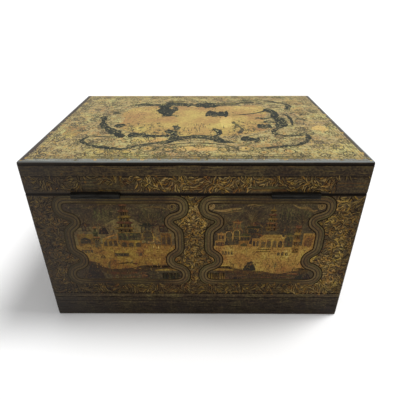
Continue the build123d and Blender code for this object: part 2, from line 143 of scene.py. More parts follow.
# Urushi lacquer: many thin brushed and polished coats over wood, two centuries old.
# The eye gets a warm brown black, hazed by lost gilding, rubbed paler at the edges and finely crazed.
# Sizes are millimetres, and heights are shares of the chest's own.
urushi = {
    "coats": [(0.52, "#1A130D"), (0.72, "#2A2017"), (0.92, "#473826")],
    "cloudSize": 30,
    "grainSize": 2.5,
    "grainShare": 0.45,
    # gold powder that was sprinkled into the wet coat, drawn coarser than life so that it shows
    "dust": {"colour": "#8A6F42", "size": 1.3, "edge": 0.3, "core": 0.12, "most": 0.6},
    # the rubbed edges: how far the clouds push their line, where they end and where they are full
    "rub": {"colour": "#71634E", "waver": 6.6, "end": 6.38, "full": 4.4, "most": 0.75},
    # dirt and painted shade in the seam, and a band of painted shade under the lid's upper arris
    "shadeAndGrime": [(0.0, "#000000"), (0.823, "#000000"), (0.8255, "#FFFFFF"), (0.8345, "#FFFFFF"), (0.8365, "#000000"),
              (0.98, "#000000"), (0.986, "#DDDDDD"), (0.9955, "#DDDDDD"), (0.997, "#000000")],
    "dirtAndShade": "#0A0705",
    # a pale blue grey painted highlight along that arris
    "bloomAndHighlight": {"colour": "#858C8B", "clear": 0.9955, "full": 0.998, "most": 0.8},
    # a fine net of cracks, as wide as needed to show
    "craze": {"size": 7, "width": 0.035, "grain": 0.5, "relief": 0.05},
    "rough": (0.34, 0.6),
    "shadeAndGrimeRough": 0.45,
    "shader": {"IOR": 1.54, "Specular IOR Level": 0.13},
}


def urushiLacquer(name, recipe, dusted):
    material, tree = newFinish(name)
    place = restPlace(tree)
    clouds = noise(tree, place, recipe["cloudSize"], 5.0, 0.62)
    grain = noise(tree, place, recipe["grainSize"], 4.0, 0.6)
    mixed = maths(tree, "MULTIPLY_ADD", grain, recipe["grainShare"], clouds)
    colour = ramp(tree, mixed, recipe["coats"])
    if dusted:
        dust = recipe["dust"]
        specks = addNode(tree, "TexVoronoi", {"Vector": place, "Scale": perMetre(dust["size"])}).outputs["Distance"]
        bright = remap(tree, specks, dust["edge"], dust["core"], 0.0, dust["most"])
        colour = blend(tree, maths(tree, "MULTIPLY", bright, clouds), dust["colour"], colour)
    # distance to the nearest edge of the box: the middle one of the distances to its faces
    axes = axesOf(tree, place)
    toEnd, toSide = (maths(tree, "SUBTRACT", chest[half] * mm, maths(tree, "ABSOLUTE", axes[axis]))
                     for axis, half in (("X", "halfWidth"), ("Y", "halfDepth")))
    upDown = maths(tree, "MINIMUM", axes["Z"], maths(tree, "SUBTRACT", chest["lidTop"] * mm, axes["Z"]))
    capped = maths(tree, "MINIMUM", maths(tree, "MAXIMUM", toEnd, toSide), upDown)
    edge = maths(tree, "MAXIMUM", maths(tree, "MINIMUM", toEnd, toSide), capped)
    rub = recipe["rub"]
    uneven = maths(tree, "MULTIPLY_ADD", mixed, rub["waver"] * mm, edge)
    rubbed = remap(tree, uneven, rub["end"] * mm, rub["full"] * mm, 0.0, rub["most"])
    colour = blend(tree, rubbed, rub["colour"], colour)
    rise = maths(tree, "DIVIDE", axes["Z"], chest["lidTop"] * mm)
    # painted shade: darker bands in the seam, with dirt, and under the lid's upper arris
    shadeAndGrime = ramp(tree, rise, recipe["shadeAndGrime"])
    colour = blend(tree, shadeAndGrime, recipe["dirtAndShade"], colour)
    # painted highlight on the lid's rounded upper arris
    bloomAndHighlight = recipe["bloomAndHighlight"]
    colour = blend(tree, remap(tree, rise, bloomAndHighlight["clear"], bloomAndHighlight["full"], 0.0, bloomAndHighlight["most"]), bloomAndHighlight["colour"], colour)
    craze = recipe["craze"]
    net = addNode(tree, "TexVoronoi", {"Vector": place, "Scale": perMetre(craze["size"])}, feature="DISTANCE_TO_EDGE")
    crack = remap(tree, net.outputs["Distance"], 0.0, craze["width"])
    height = maths(tree, "MULTIPLY_ADD", grain, craze["grain"], crack)
    rough = maths(tree, "MULTIPLY_ADD", shadeAndGrime, recipe["shadeAndGrimeRough"], remap(tree, mixed, 0.0, 1.0, *recipe["rough"]))
    closeFinish(tree, {**recipe["shader"], "Base Color": aged(tree, place, colour), "Roughness": rough}, height,
                craze["relief"])
    return material


# Gold and silver powders dusted on wet lacquer. The eye gets a soft satin metal that is brightest
# where the powder lies thick, browner where it is thin, and missing where hands have rubbed it off.
# fine and broad are the sizes of the two noises in millimetres, each with its share; hue is how far
# the colour wanders either way; ages says whether the left end greys it.
usualPowder = {"ages": True, "gloss": 0.15}
powders = {
    "sideGold": {
        "name": "gold powder", "metal": 0.5, "rough": (0.42, 0.6), "fine": (2.2, 0.4), "broad": (22, 0.32), "hue": 0.02,
        "stops": [(0.1, "#20160D"), (0.3, "#493419"), (0.55, "#7D5D29"), (0.8, "#A98444"), (1.0, "#CDAE74")]},
    "mist": {
        "name": "thin gold dust", "metal": 0.2, "rough": (0.45, 0.65), "fine": (2.4, 0.6), "broad": (26, 0.4),
        "hue": 0.016,
        "stops": [(0.1, "#1C150F"), (0.35, "#33291C"), (0.6, "#54452E"), (0.85, "#7B673F"), (1.0, "#95804F")]},
    "ink": {
        "name": "black line lacquer", "metal": 0.05, "rough": (0.45, 0.65), "fine": (2.4, 0.4), "broad": (20, 0.4),
        "hue": 0.01, "gloss": 0.03, "stops": [(0.1, "#100C09"), (0.6, "#231B12"), (1.0, "#443824")]},
    "redGold": {
        "name": "red gold powder", "metal": 0.45, "rough": (0.42, 0.62), "fine": (2.0, 0.5), "broad": (18, 0.35),
        "hue": 0.015, "stops": [(0.1, "#20140E"), (0.4, "#543421"), (0.7, "#8A5C34"), (1.0, "#B98A55")]},
    "greenGold": {
        "name": "green gold powder", "metal": 0.4, "rough": (0.42, 0.62), "fine": (2.0, 0.5), "broad": (18, 0.35),
        "hue": 0.02, "stops": [(0.1, "#17160F"), (0.4, "#39351F"), (0.7, "#655C36"), (1.0, "#928852")]},
    "paleGold": {
        "name": "pale gold powder", "metal": 0.3, "rough": (0.42, 0.6), "fine": (2.2, 0.35), "broad": (22, 0.3),
        "hue": 0.012,
        "stops": [(0.1, "#2A2013"), (0.35, "#5C4926"), (0.6, "#896F3E"), (0.85, "#AC915B"), (1.0, "#C8B07E")]},
    "topGold": {
        "name": "worn gold leaf", "metal": 0.45, "rough": (0.42, 0.58), "fine": (3.0, 0.5), "broad": (38, 0.36),
        "hue": 0.022, "ages": False,
        "stops": [(0.08, "#2F2818"), (0.25, "#66552E"), (0.45, "#8B723C"), (0.7, "#AD8D4D"), (1.0, "#CFAF6A")]},
    "bareCoat": {
        "name": "lacquer bared by wear", "metal": 0.05, "rough": (0.45, 0.65), "fine": (3.2, 0.6), "broad": (16, 0.4),
        "hue": 0.03, "ages": False, "gloss": 0.03,
        "stops": [(0.15, "#191E1B"), (0.5, "#33362F"), (0.75, "#504D3D"), (1.0, "#887849")]},
    # pale lacquer at the top's edges, also laid as a painted highlight along the front one
    "bloomAndHighlight": {
        "name": "bloomed lacquer and painted highlight", "metal": 0.0, "rough": (0.5, 0.7), "fine": (2.2, 0.3), "broad": (30, 0.25),
        "hue": 0.01, "ages": False, "stops": [(0.1, "#27211D"), (0.4, "#4C433A"), (0.7, "#716F66"), (1.0, "#A3A9A3")]},
    "bronze": {
        "name": "bronze powder", "metal": 0.2, "rough": (0.5, 0.7), "fine": (2.2, 0.35), "broad": (24, 0.3),
        "hue": 0.012, "stops": [(0.1, "#261B10"), (0.4, "#5A4829"), (0.7, "#7B6642"), (1.0, "#9C875F")]},
    "oldLeaf": {
        "name": "rubbed gold leaf", "metal": 0.35, "rough": (0.45, 0.6), "fine": (2.6, 0.55), "broad": (30, 0.4),
        "hue": 0.025, "ages": False,
        "stops": [(0.1, "#4E4932"), (0.35, "#867A50"), (0.55, "#AC9B69"), (0.8, "#C4B27B"), (1.0, "#DBC88F")]},
    "engraving": {
        "name": "blackened engraving", "metal": 0.6, "rough": (0.45, 0.6), "fine": (1.5, 0.3), "broad": (15, 0.3),
        "hue": 0.0, "ages": False, "stops": [(0.2, "#1E1E1B"), (0.6, "#34342F"), (1.0, "#55554E")]},
}


def powderFinish(recipe):
    material, tree = newFinish(recipe["name"])
    place = restPlace(tree)
    # each flake's own tone, broken up by the two noises
    level = addNode(tree, "Attribute", {}, attribute_name="tone").outputs["Fac"]
    noises = {}
    for key in ("broad", "fine"):
        size, share = recipe[key]
        noises[key] = noise(tree, place, size, 6.0, 0.65)
        level = maths(tree, "MULTIPLY_ADD", maths(tree, "SUBTRACT", noises[key], 0.5), 2 * share, level)
    hue = remap(tree, noises["broad"], 0.35, 0.65, 0.5 - recipe["hue"], 0.5 + recipe["hue"])
    colour = addNode(tree, "HueSaturation", {"Hue": hue, "Color": ramp(tree, level, recipe["stops"])}).outputs["Color"]
    shader = {
        "IOR": 1.5,
        "Specular IOR Level": recipe["gloss"],
        "Base Color": aged(tree, place, colour) if recipe["ages"] else colour,
        "Metallic": remap(tree, level, 0.2, 0.55, 0.0, recipe["metal"]),
        "Roughness": remap(tree, noises["fine"], 0.0, 1.0, *recipe["rough"]),
    }
    closeFinish(tree, shader, noises["fine"], 0.03)
    return material


# Plain metals of the fittings: cast or rolled, filed, and left to darken
metals = {
    "hingeBrass": {"name": "blackened brass", "rough": (0.45, 0.62), "size": 3, "stretch": 6,
                   "stops": [(0.3, "#181716"), (0.6, "#2B2A27"), (0.85, "#524A3A")]},
    "lockBrass": {"name": "old brass", "rough": (0.28, 0.45), "size": 2, "stretch": 8,
                  "stops": [(0.3, "#7A5F2E"), (0.55, "#A98B4C"), (0.85, "#C9AE70")],
                  # old oil and dust, with painted shade, inside the lock, by height
                  "soilAndShade": {"colour": "#120D08", "clear": chest["rim"] - 10, "full": chest["rim"] - 15, "rough": 0.4}},
    "iron": {"name": "filed iron", "rough": (0.35, 0.55), "size": 1.5, "stretch": 5,
             "stops": [(0.3, "#3A342E"), (0.6, "#6A635B"), (0.85, "#8A847C")]},
    "pewter": {"name": "tarnished pewter", "rough": (0.32, 0.5), "size": 14, "stretch": 1,
               "stops": [(0.3, "#55554F"), (0.55, "#7F7F78"), (0.85, "#A5A59C")]},
}


def metalFinish(recipe):
    material, tree = newFinish(recipe["name"])
    place = restPlace(tree)
    # file and rolling marks run along the length, so the noise is stretched that way
    stretched = addNode(tree, "Mapping", {"Vector": place, "Scale": (1 / recipe["stretch"], 1, 1)}).outputs["Vector"]
    marks = noise(tree, stretched, recipe["size"], 7.0, 0.6)
    colour = ramp(tree, marks, recipe["stops"])
    metal, rough = 1.0, remap(tree, marks, 0.0, 1.0, *recipe["rough"])
    if "soilAndShade" in recipe:
        soilAndShade = recipe["soilAndShade"]
        # painted shade and dirt: the brass darkens below a height inside the lock, where the keyhole looks in
        soiledAndShaded = remap(tree, axesOf(tree, place)["Z"], soilAndShade["clear"] * mm, soilAndShade["full"] * mm)
        metal = remap(tree, soiledAndShaded, 0.0, 1.0, 1.0, 0.0)
        rough = maths(tree, "MULTIPLY_ADD", soiledAndShaded, soilAndShade["rough"], rough)
        colour = blend(tree, soiledAndShaded, soilAndShade["colour"], colour)
    closeFinish(tree, {"Base Color": colour, "Metallic": metal, "Roughness": rough}, marks, 0.02)
    return material


finishes = {key: powderFinish({**usualPowder, **recipe}) for key, recipe in powders.items()}
finishes.update({key: metalFinish(recipe) for key, recipe in metals.items()})
finishes["lacquer"] = urushiLacquer("dusted urushi lacquer", urushi, dusted=True)
finishes["plainLacquer"] = urushiLacquer("plain urushi lacquer", urushi, dusted=False)
print("finishes:", len(finishes))


# Which finish each slot of the frame takes
slotFinish = {
    "lacquer": "lacquer",
    "lining_lacquer": "plainLacquer",
    "hinge_brass": "hingeBrass",
    "lock_brass": "lockBrass",
    "steel": "iron",
    "pewter": "pewter",
}
for part in frame["record"]["subparts"]:
    for slot in frame["nodes"][part["node"]].material_slots:
        slot.material = finishes[slotFinish[part["material_slot"]]]
print("frame nodes finished")


# Decoration is built as thin flakes of gilding laid less than 0.2 mm over one flat face of the chest.
# Their places are millimetres on that face: u across, as seen from outside, and v up.
# No flake passes the limits. Flakes of one whole level are spread over a hair's height, so that no two
# share a plane, and a level between two whole ones is a height of its own.
flake = {"root": 0.01, "step": 0.015, "spread": 0.0072, "turn": 0.618034}
powderOrder = list(powders)


class Decoration:
    def __init__(self, name, body, origin, across, up, limits):
        self.name, self.body, self.limits = name, body, limits
        self.origin, self.across, self.up = Vector(origin), Vector(across), Vector(up)
        self.out = self.across.cross(self.up)
        # a view is moved by shift, mirrored by flip, darkened by dim and lifted by raised
        self.shift, self.flip, self.dim, self.raised = 0.0, 1, 0.0, 0.0
        self.points, self.faces, self.powders, self.tones, self.count = [], [], [], [], 0

    def placed(self, path):
        # the path on the face, or nothing where its middle is off the face
        path = [(self.shift + self.flip * u, v) for u, v in path]
        (lowU, lowV), (highU, highV) = self.limits
        u, v = (sum(point[axis] for point in path) / len(path) for axis in (0, 1))
        return path if lowU < u < highU and lowV < v < highV else None

    def ring(self, outline, level):
        # the outline's points, at the flake's own height over the face
        self.count += 1
        own = 0.0 if level % 1 else self.count * flake["turn"] % 1 * flake["spread"]
        lift = flake["root"] + (level + self.raised) * flake["step"] + own
        base = self.origin + self.out * lift
        (lowU, lowV), (highU, highV) = self.limits
        for u, v in outline:
            u, v = min(max(u, lowU), highU), min(max(v, lowV), highV)
            self.points.append((base + self.across * u + self.up * v) * mm)

    def keep(self, faces, powder, tones):
        self.faces += faces
        self.powders += [powderOrder.index(powder)] * len(faces)
        self.tones += [tone - self.dim for tone in tones]

    def shape(self, outline, powder="sideGold", tone=0.6, level=1):
        # a flake of any simple outline
        outline = self.placed(outline)
        if not outline:
            return
        turn = sum(a[0] * b[1] - a[1] * b[0] for a, b in zip(outline, outline[1:] + outline[:1]))
        if turn < 0:
            outline = outline[::-1]
        start = len(self.points)
        self.ring(outline, level)
        self.keep([tuple(range(start, start + len(outline)))], powder, [tone])

    def stroke(self, path, width, powder="sideGold", tone=0.6, level=1, closed=False):
        # a brush stroke along a path; width is one value or a function of the share along it, and tone
        # is one value or a function of the place
        path = self.placed(path)
        if not path:
            return
        left, right = [], []
        count = len(path)
        for k, (u, v) in enumerate(path):
            before = path[k - 1] if k or closed else path[k]
            after = path[(k + 1) % count] if k < count - 1 or closed else path[k]
            du, dv = after[0] - before[0], after[1] - before[1]
            size = math.hypot(du, dv) or 1.0
            half = (width(k / (count - 1)) if callable(width) else width) / 2 / size
            left.append((u - dv * half, v + du * half))
            right.append((u + dv * half, v - du * half))
        start = len(self.points)
        self.ring(left + right, level)
        pairs = [(k, (k + 1) % count) for k in range(count if closed else count - 1)]
        self.keep([(start + count + k, start + count + n, start + n, start + k) for k, n in pairs], powder,
                  [tone(*path[k]) if callable(tone) else tone for k, n in pairs])

    def build(self):
        mesh = bpy.data.meshes.new(self.name)
        mesh.from_pydata(self.points, [], self.faces)
        for powder in powderOrder:
            mesh.materials.append(finishes[powder])
        mesh.polygons.foreach_set("material_index", self.powders)
        toneLayer = mesh.attributes.new("tone", "FLOAT", "FACE")
        toneLayer.data.foreach_set("value", self.tones)
        mesh.update()
        piece = bpy.data.objects.new(self.name, mesh)
        bpy.context.scene.collection.objects.link(piece)
        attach(piece, self.body)
        "pewter" if "engraving" in self.name else "lacquer"
        print(self.name, len(self.faces), "faces")


# Curves for the drawing

def smooth(points, steps=5, closed=True):
    # a curve through the points, with steps points for each stretch
    count = len(points)
    made = []
    for k in range(count if closed else count - 1):
        near = [points[(k + j) % count] if closed else points[min(max(k + j, 0), count - 1)] for j in (-1, 0, 1, 2)]
        for s in range(steps):
            t = s / steps
            weights = (-t + 2 * t ** 2 - t ** 3, 2 - 5 * t ** 2 + 3 * t ** 3,
                       t + 4 * t ** 2 - 3 * t ** 3, t ** 3 - t ** 2)
            made.append(tuple(sum(w * p[axis] for w, p in zip(weights, near)) / 2 for axis in (0, 1)))
    return made if closed else made + [points[-1]]


def beside(path, distance):
    # a closed path moved to its left by distance
    count = len(path)
    moved = []
    for k, (u, v) in enumerate(path):
        du, dv = path[(k + 1) % count][0] - path[k - 1][0], path[(k + 1) % count][1] - path[k - 1][1]
        size = math.hypot(du, dv) or 1.0
        moved.append((u - dv / size * distance, v + du / size * distance))
    return moved


def along(profile, v):
    # the profile's half width at height v; its points run downward
    for (wide, high), (nextWide, low) in zip(profile, profile[1:]):
        if low <= v <= high:
            share = (high - v) / ((high - low) or 1)
            return wide + (nextWide - wide) * share
    return 0.0


def box(left, right, low, high):
    return [(left, low), (right, low), (right, high), (left, high)]


def oval(u, v, wide, high, turns):
    # places at the given turns, in radians, round a middle
    return [(u + wide * math.cos(turn), v + high * math.sin(turn)) for turn in turns]


def wholeTurn(sides):
    return [2 * math.pi * k / sides for k in range(sides)]


def inside(outline, u, v):
    # whether a point lies in a closed outline
    odd = False
    for (a, b), (c, d) in zip(outline, outline[1:] + outline[:1]):
        if (b > v) != (d > v) and u < (c - a) * (v - b) / (d - b) + a:
            odd = not odd
    return odd


def taper(width):
    return lambda share: width * (1 - 0.75 * share)


def swell(width):
    return lambda share: width * (0.25 + math.sin(math.pi * min(max(share, 0.02), 0.98)))


def ragged(width, rng):
    # a worn edge: the width wavers slowly and quickly, and closes at both ends
    a, b, c = (rng.uniform(0, 6.28) for _ in range(3))
    return lambda share: width * ((1.0 + 0.22 * math.sin(9 * share + a) + 0.16 * math.sin(23 * share + b)
                                   + 0.1 * math.sin(51 * share + c))
                                  * min(1, 0.25 + 9 * share, 0.25 + 9 * (1 - share)))


# Small motifs

# a leaf's outline, in lengths along it and widths across
leafForm = [(0, 0), (0.3, 0.5), (0.65, 0.4), (1, 0), (0.65, -0.4), (0.3, -0.5)]


def leaf(work, u, v, heading, length, width, powder, tone, level=1):
    c, s = math.cos(heading), math.sin(heading)
    work.shape([(u + a * length * c - b * width * s, v + a * length * s + b * width * c) for a, b in leafForm],
               powder, tone, level)


def dot(work, u, v, radius, powder, tone, level=1, sides=6):
    work.shape(oval(u, v, radius, radius, wholeTurn(sides)), powder, tone, level)


def blossom(work, u, v, radius, powder, tone, rng, petals=5, level=1):
    first = rng.uniform(0, 6.28)
    for k in range(petals):
        heading = first + 2 * math.pi * k / petals
        leaf(work, u + 0.2 * radius * math.cos(heading), v + 0.2 * radius * math.sin(heading), heading,
             0.85 * radius, 0.75 * radius, powder, tone + rng.uniform(-0.08, 0.08), level)
    dot(work, u, v, 0.26 * radius, "redGold" if rng.random() < 0.4 else "ink", 0.5, level + 1)


def sprig(work, u, v, heading, size, tone, rng, powder="sideGold", level=1):
    # one curling stem with leaves on both sides and a flower or a curl at its end
    turn = rng.choice((-1, 1)) * rng.uniform(0.25, 0.5)
    path, headings = [(u, v)], [heading]
    for k in range(5):
        heading += turn * (0.5 + 0.4 * k)
        u += math.cos(heading) * size * 0.22
        v += math.sin(heading) * size * 0.22
        path.append((u, v))
        headings.append(heading)
    work.stroke(path, taper(0.1 * size), powder, tone, level)
    for k in range(1, 5):
        side = 1 if k % 2 else -1
        spread = rng.uniform(0.6, 1.1)
        leaf(work, *path[k], headings[k] + side * spread, size * rng.uniform(0.3, 0.48), size * 0.17, powder,
             tone + rng.uniform(-0.15, 0.15), level)
    if rng.random() < 0.5:
        blossom(work, u, v, size * 0.3, powder, tone + 0.1, rng, level=level)
    else:
        dot(work, u, v, size * 0.12, powder, tone, level)


def scroll(work, u, v, radius, turns, start, tone, rng, powder="sideGold", level=2):
    # a spiral stem with leaves along its outside, as on any acanthus border
    side = 1 if turns > 0 else -1
    steps = round(abs(turns) * 12)
    path = []
    for k in range(steps + 1):
        reach, turn = radius * (1 - 0.7 * k / steps), start + side * 6.28 * abs(turns) * k / steps
        path += oval(u, v, reach, reach, [turn])
    work.stroke(path, taper(0.16 * radius), powder, tone, level)
    for k in range(steps - 2):
        heading = math.atan2(path[k + 1][1] - path[k][1], path[k + 1][0] - path[k][0])
        leaf(work, *path[k], heading - side * rng.uniform(0.5, 1.3),
             radius * rng.uniform(0.35, 0.8) * (1 - 0.5 * k / steps), radius * 0.24, powder,
             tone + rng.uniform(-0.18, 0.18), level)
    blossom(work, u, v, radius * 0.24, powder, tone + 0.12, rng, level=level)


def scattered(spacing, low, high, rng):
    # a jittered grid of places over a box
    rows = max(1, round((high[1] - low[1]) / spacing))
    columns = max(1, round((high[0] - low[0]) / spacing))
    for row in range(rows):
        for column in range(columns):
            yield (low[0] + (column + 0.5 + rng.uniform(-0.4, 0.4)) * (high[0] - low[0]) / columns,
                   low[1] + (row + 0.5 + rng.uniform(-0.4, 0.4)) * (high[1] - low[1]) / rows)


def foliage(work, area, spacing, rng, allowed, brightness, powder="sideGold", level=2):
    for u, v in scattered(spacing, *area, rng):
        heading, size = rng.uniform(0, 6.28), spacing * rng.uniform(0.75, 1.05)
        if allowed(u, v):
            sprig(work, u - math.cos(heading) * size * 0.4, v - math.sin(heading) * size * 0.4,
                  heading, size, brightness(u, v) + rng.uniform(-0.14, 0.14), rng, powder, level)


def litter(work, area, spacing, rng, allowed, brightness, powders=("sideGold", "bronze", "greenGold", "bronze"),
           level=1):
    # the close filling between the sprigs: single small leaves, blades and seeds
    for u, v in scattered(spacing, *area, rng):
        if allowed(u, v):
            leaf(work, u, v, rng.uniform(0, 6.28), spacing * rng.uniform(0.6, 1.2), spacing * rng.uniform(0.2, 0.42),
                 rng.choice(powders), brightness(u, v) + rng.uniform(-0.2, 0.14), level)


def fronds(work, area, spacing, rng, allowed, brightness, sweep=1.0, level=3):
    # feathered leaves that lie side by side and turn together round unseen stems, dark between;
    # sweep is how far they turn out of the level
    for u, v in scattered(spacing, *area, rng):
        if allowed(u, v):
            turn = (2.2 * math.sin(u / 5.3 + 1.4 * math.sin(v / 6.1))
                    + 1.5 * math.cos(v / 4.9 + 0.8 * math.sin(u / 7.7)))
            heading = sweep * turn + rng.uniform(-0.3, 0.3)
            c, s = math.cos(heading), math.sin(heading)
            long, wide = spacing * rng.uniform(1.4, 2.1), spacing * rng.uniform(0.36, 0.54)
            bend = rng.uniform(-0.22, 0.22) * long
            path = [(u - 0.5 * long * c, v - 0.5 * long * s), (u - bend * s, v + bend * c),
                    (u + 0.5 * long * c, v + 0.5 * long * s)]
            work.stroke(path, swell(wide), rng.choice(("paleGold", "bronze", "sideGold", "paleGold")),
                        brightness(u, v) + rng.uniform(-0.14, 0.24), level)
            shade = [(a + 0.62 * wide * s, b - 0.62 * wide * c) for a, b in path]
            work.stroke(shade, swell(0.5 * wide), "ink", rng.uniform(0.1, 0.5), level)


def growth(work, area, spacings, rng, allowed, brightness, gains, levels=(1, 2, 3), sweep=1.0):
    # litter, sprigs and fronds over one another, each with its spacing, its gain in brightness and its level
    toned = [lambda u, v, gain=gain: brightness(u, v) + gain for gain in gains]
    litter(work, area, spacings[0], rng, allowed, toned[0], level=levels[0])
    foliage(work, area, spacings[1], rng, allowed, toned[1], level=levels[1])
    fronds(work, area, spacings[2], rng, allowed, toned[2], sweep, levels[2])


def streaks(work, area, spacing, rng, longs, bow, widths, powders, brightness, wavers, level):
    # long soft level strokes; longs, widths and wavers (of the brightness) are ranges
    for u, v in scattered(spacing, *area, rng):
        half = rng.uniform(*longs) / 2
        path = [(u - half, v), (u, v + rng.uniform(-bow, bow)), (u + half, v)]
        work.stroke(path, swell(rng.uniform(*widths)), rng.choice(powders), brightness(u, v) + rng.uniform(*wavers),
                    level)


# Landscape motifs: the common stock of garden views on export lacquer. A place is the motif's left,
# right, low and high edges, or else its path, measured from the view's middle and from the floor. All
# are called alike, with rng first, also the two that draw nothing at random.

def hall(work, rng, place, bays, tone=0.72, powder="sideGold", window="mist", roof=0.0):
    # a building front: pale posts and beams round dark openings, with a swept roof if it shows one
    left, right, low, high = place
    work.shape(box(*place), powder, tone, 3)
    pitch = (right - left) / bays
    for k in range(bays):
        a, b = left + (k + 0.16) * pitch, left + (k + 0.84) * pitch
        lift = low + 0.12 * (high - low)
        crown = low + rng.uniform(0.72, 0.86) * (high - low)
        work.shape([(a, lift), (b, lift), (b, crown - 0.2 * pitch), ((a + b) / 2, crown), (a, crown - 0.2 * pitch)],
                   window, rng.uniform(0.5, 0.8), 4)
        if pitch > 5:
            for share in (0.33, 0.67):
                u = a + share * (b - a)
                work.stroke([(u, lift), (u, crown - 0.25 * pitch)], 0.35, powder, tone - 0.15, 5)
            work.stroke([(a, (lift + crown) / 2), (b, (lift + crown) / 2)], 0.35, powder, tone - 0.2, 5)
    for v in (low, high):
        work.stroke([(left - 0.6, v), (right + 0.6, v)], 0.7, "sideGold", tone + 0.1, 5)
    for u in (left, right):
        work.stroke([(u, low), (u, high)], 0.6, "sideGold", tone + 0.06, 5)
    if roof:
        tip, waist, ridge = high + 0.3 * roof, high + 0.45 * roof, high + roof
        work.shape([(left - 2.5, tip), (left - 1, high), (right + 1, high), (right + 2.5, tip), (right - 1.5, waist),
                    (right - 3, ridge), (left + 3, ridge), (left + 1.5, waist)], powder, tone + 0.06, 5)
        for k in range(1, round((right - left) / 1.8)):
            u = left + k * 1.8
            work.stroke([(u, high + 0.3), (u + (left + right - 2 * u) * 0.12, high + 0.9 * roof)], 0.35, "ink", 0.5, 6)


def archway(work, rng, place, tone=0.8):
    # a pale round arch with a dark lattice inside
    left, right, low, high = place
    middle, half = (left + right) / 2, (right - left) / 2
    spring = high - half
    crown = oval(middle, spring, half, half, (0.5, 1.0, 1.57, 2.14, 2.64))
    rim = [(right, low), (right, spring)] + crown + [(left, spring), (left, low)]
    work.shape(rim, "mist", rng.uniform(0.55, 0.8), 3)
    work.stroke(rim, 0.8, "sideGold", tone, 4)
    for share in (0.3, 0.5, 0.7):
        u = left + share * (right - left)
        work.stroke([(u, low), (u, spring + 0.5 * half)], 0.4, "greenGold", tone - 0.2, 4)
    work.stroke([(left, (low + spring) / 2), (right, (low + spring) / 2)], 0.45, "sideGold", tone - 0.1, 4)


def tower(work, rng, place, storeys, tone=0.6, powder="greenGold", narrow=0.4):
    # storeys with eaves, each narrower than the one below, and a finial
    left, right, low, high = place
    middle = (left + right) / 2
    for k in range(storeys):
        wide = (right - left) * (1 - (1 - narrow) * k / max(1, storeys - 1)) / 2
        base, top = (low + (high - low) * (k + s) / (storeys + 0.4) for s in (0, 1))
        body = base + 0.6 * (top - base)
        work.shape(box(middle - 0.72 * wide, middle + 0.72 * wide, base, top), powder, tone - 0.08, 2)
        for share in (-0.4, 0.0, 0.4):
            u = middle + share * wide
            work.stroke([(u, base + 0.3), (u, body)], 0.16 * wide, "ink", rng.uniform(0.5, 0.9), 3)
        tip = body + 0.25 * (top - base)
        eaves = [(-1, tip), (-0.8, body), (0.8, body), (1, tip), (0.6, top), (-0.6, top)]
        work.shape([(middle + share * wide, v) for share, v in eaves], rng.choice((powder, "redGold")),
                   tone + rng.uniform(-0.06, 0.1), 3)
        work.stroke([(middle - wide, body), (middle + wide, body)], 0.4, "ink", 0.6, 4)
    work.stroke([(middle, high - 2), (middle, high + 2.5)], taper(1.0), powder, tone, 3)


def fan(work, rng, place, rays=11, tone=0.4, powder="greenGold"):
    # a palm or pine head: rays that spread from the foot of the box
    left, right, low, high = place
    middle, radius = (left + right) / 2, high - low
    for k in range(rays):
        heading = 3.14 * (0.08 + 0.84 * (k + rng.uniform(-0.3, 0.3)) / (rays - 1))
        reach = radius * rng.uniform(0.75, 1.05)
        tip = (middle + (right - left) / 2 / radius * reach * math.cos(heading) * 1.1, low + reach * math.sin(heading))
        bend = ((middle + tip[0]) / 2, (low + tip[1]) / 2 + 0.14 * radius)
        work.stroke(smooth([(middle, low), bend, tip], 3, False), taper(rng.uniform(0.7, 1.3)), powder,
                    tone + rng.uniform(0.0, 0.36), 3)
    work.stroke([(middle, low - 0.35 * radius), (middle, low + 1)], 1.1, "redGold", tone, 2)


def willow(work, rng, place, tone=0.4, powder="greenGold"):
    # hanging branches in bunches
    u, right, low, high = place
    while u < right:
        top = high - rng.uniform(0, 0.35) * (high - low)
        foot = low + rng.uniform(0, 0.4) * (high - low)
        sway = rng.uniform(-1.2, 1.2)
        work.stroke([(u, top), (u + sway, (top + foot) / 2), (u + 0.6 * sway, foot)], taper(rng.uniform(0.6, 1.2)),
                    powder, tone + rng.uniform(-0.05, 0.4), 2)
        for share in (0.25, 0.5, 0.75):
            leaf(work, u + sway * share, top + (foot - top) * share, rng.uniform(-2.4, -0.7), rng.uniform(1.4, 2.6),
                 0.7, powder, tone + rng.uniform(-0.05, 0.4), 3)
        u += rng.uniform(0.9, 1.9)


def cloud(work, rng, path, width=1.6, tone=0.6, curl=None):
    # a drifting streak in two strands; curl is the middle and radius of the scroll at its end
    strand = smooth(path, 4, False)
    work.stroke(strand, swell(width), "paleGold", tone, 3)
    lower = [(u + 1.5, v - 1.1 * width) for u, v in strand[len(strand) // 4:]]
    work.stroke(lower, swell(0.5 * width), "paleGold", tone - 0.15, 3)
    if curl:
        u, v, radius = curl
        spiral = []
        for k in range(17):
            reach = radius * (1 - 0.045 * k)
            spiral += oval(u, v, reach, reach, [0.7 * k + 2.6])
        work.shape(spiral[:9], "paleGold", tone - 0.24, 2)
        work.stroke(spiral, 0.24 * radius, "paleGold", tone + 0.1, 4)


def rock(work, rng, place, tone=0.35, powder="redGold"):
    # a dark mound with ragged contour lines and small leaves at its foot
    left, right, low, high = place
    outline = [(left, low)]
    for k in range(1, 10):
        peak = math.sin(math.pi * k / 10) ** 0.7
        outline.append((left + (right - left) * k / 10, low + (high - low) * peak * rng.uniform(0.75, 1.08)))
    outline.append((right, low))
    work.shape(outline, "mist", 0.36, 4)
    middle = (left + right) / 2
    for inset in (0.0, 0.22, 0.42, 0.6):
        contour = [(u + (middle - u) * inset + rng.uniform(-0.4, 0.4), v + (low - v) * inset) for u, v in outline]
        work.stroke(contour, 0.5, powder, tone + rng.uniform(-0.15, 0.15), 5)
    for u, v in scattered(2.6, (left + 1, low), (right - 1, low + 0.6 * (high - low)), rng):
        leaf(work, u, v, rng.uniform(0.6, 2.4), rng.uniform(1.2, 2.8), 0.6, powder, tone + rng.uniform(-0.1, 0.3), 5)


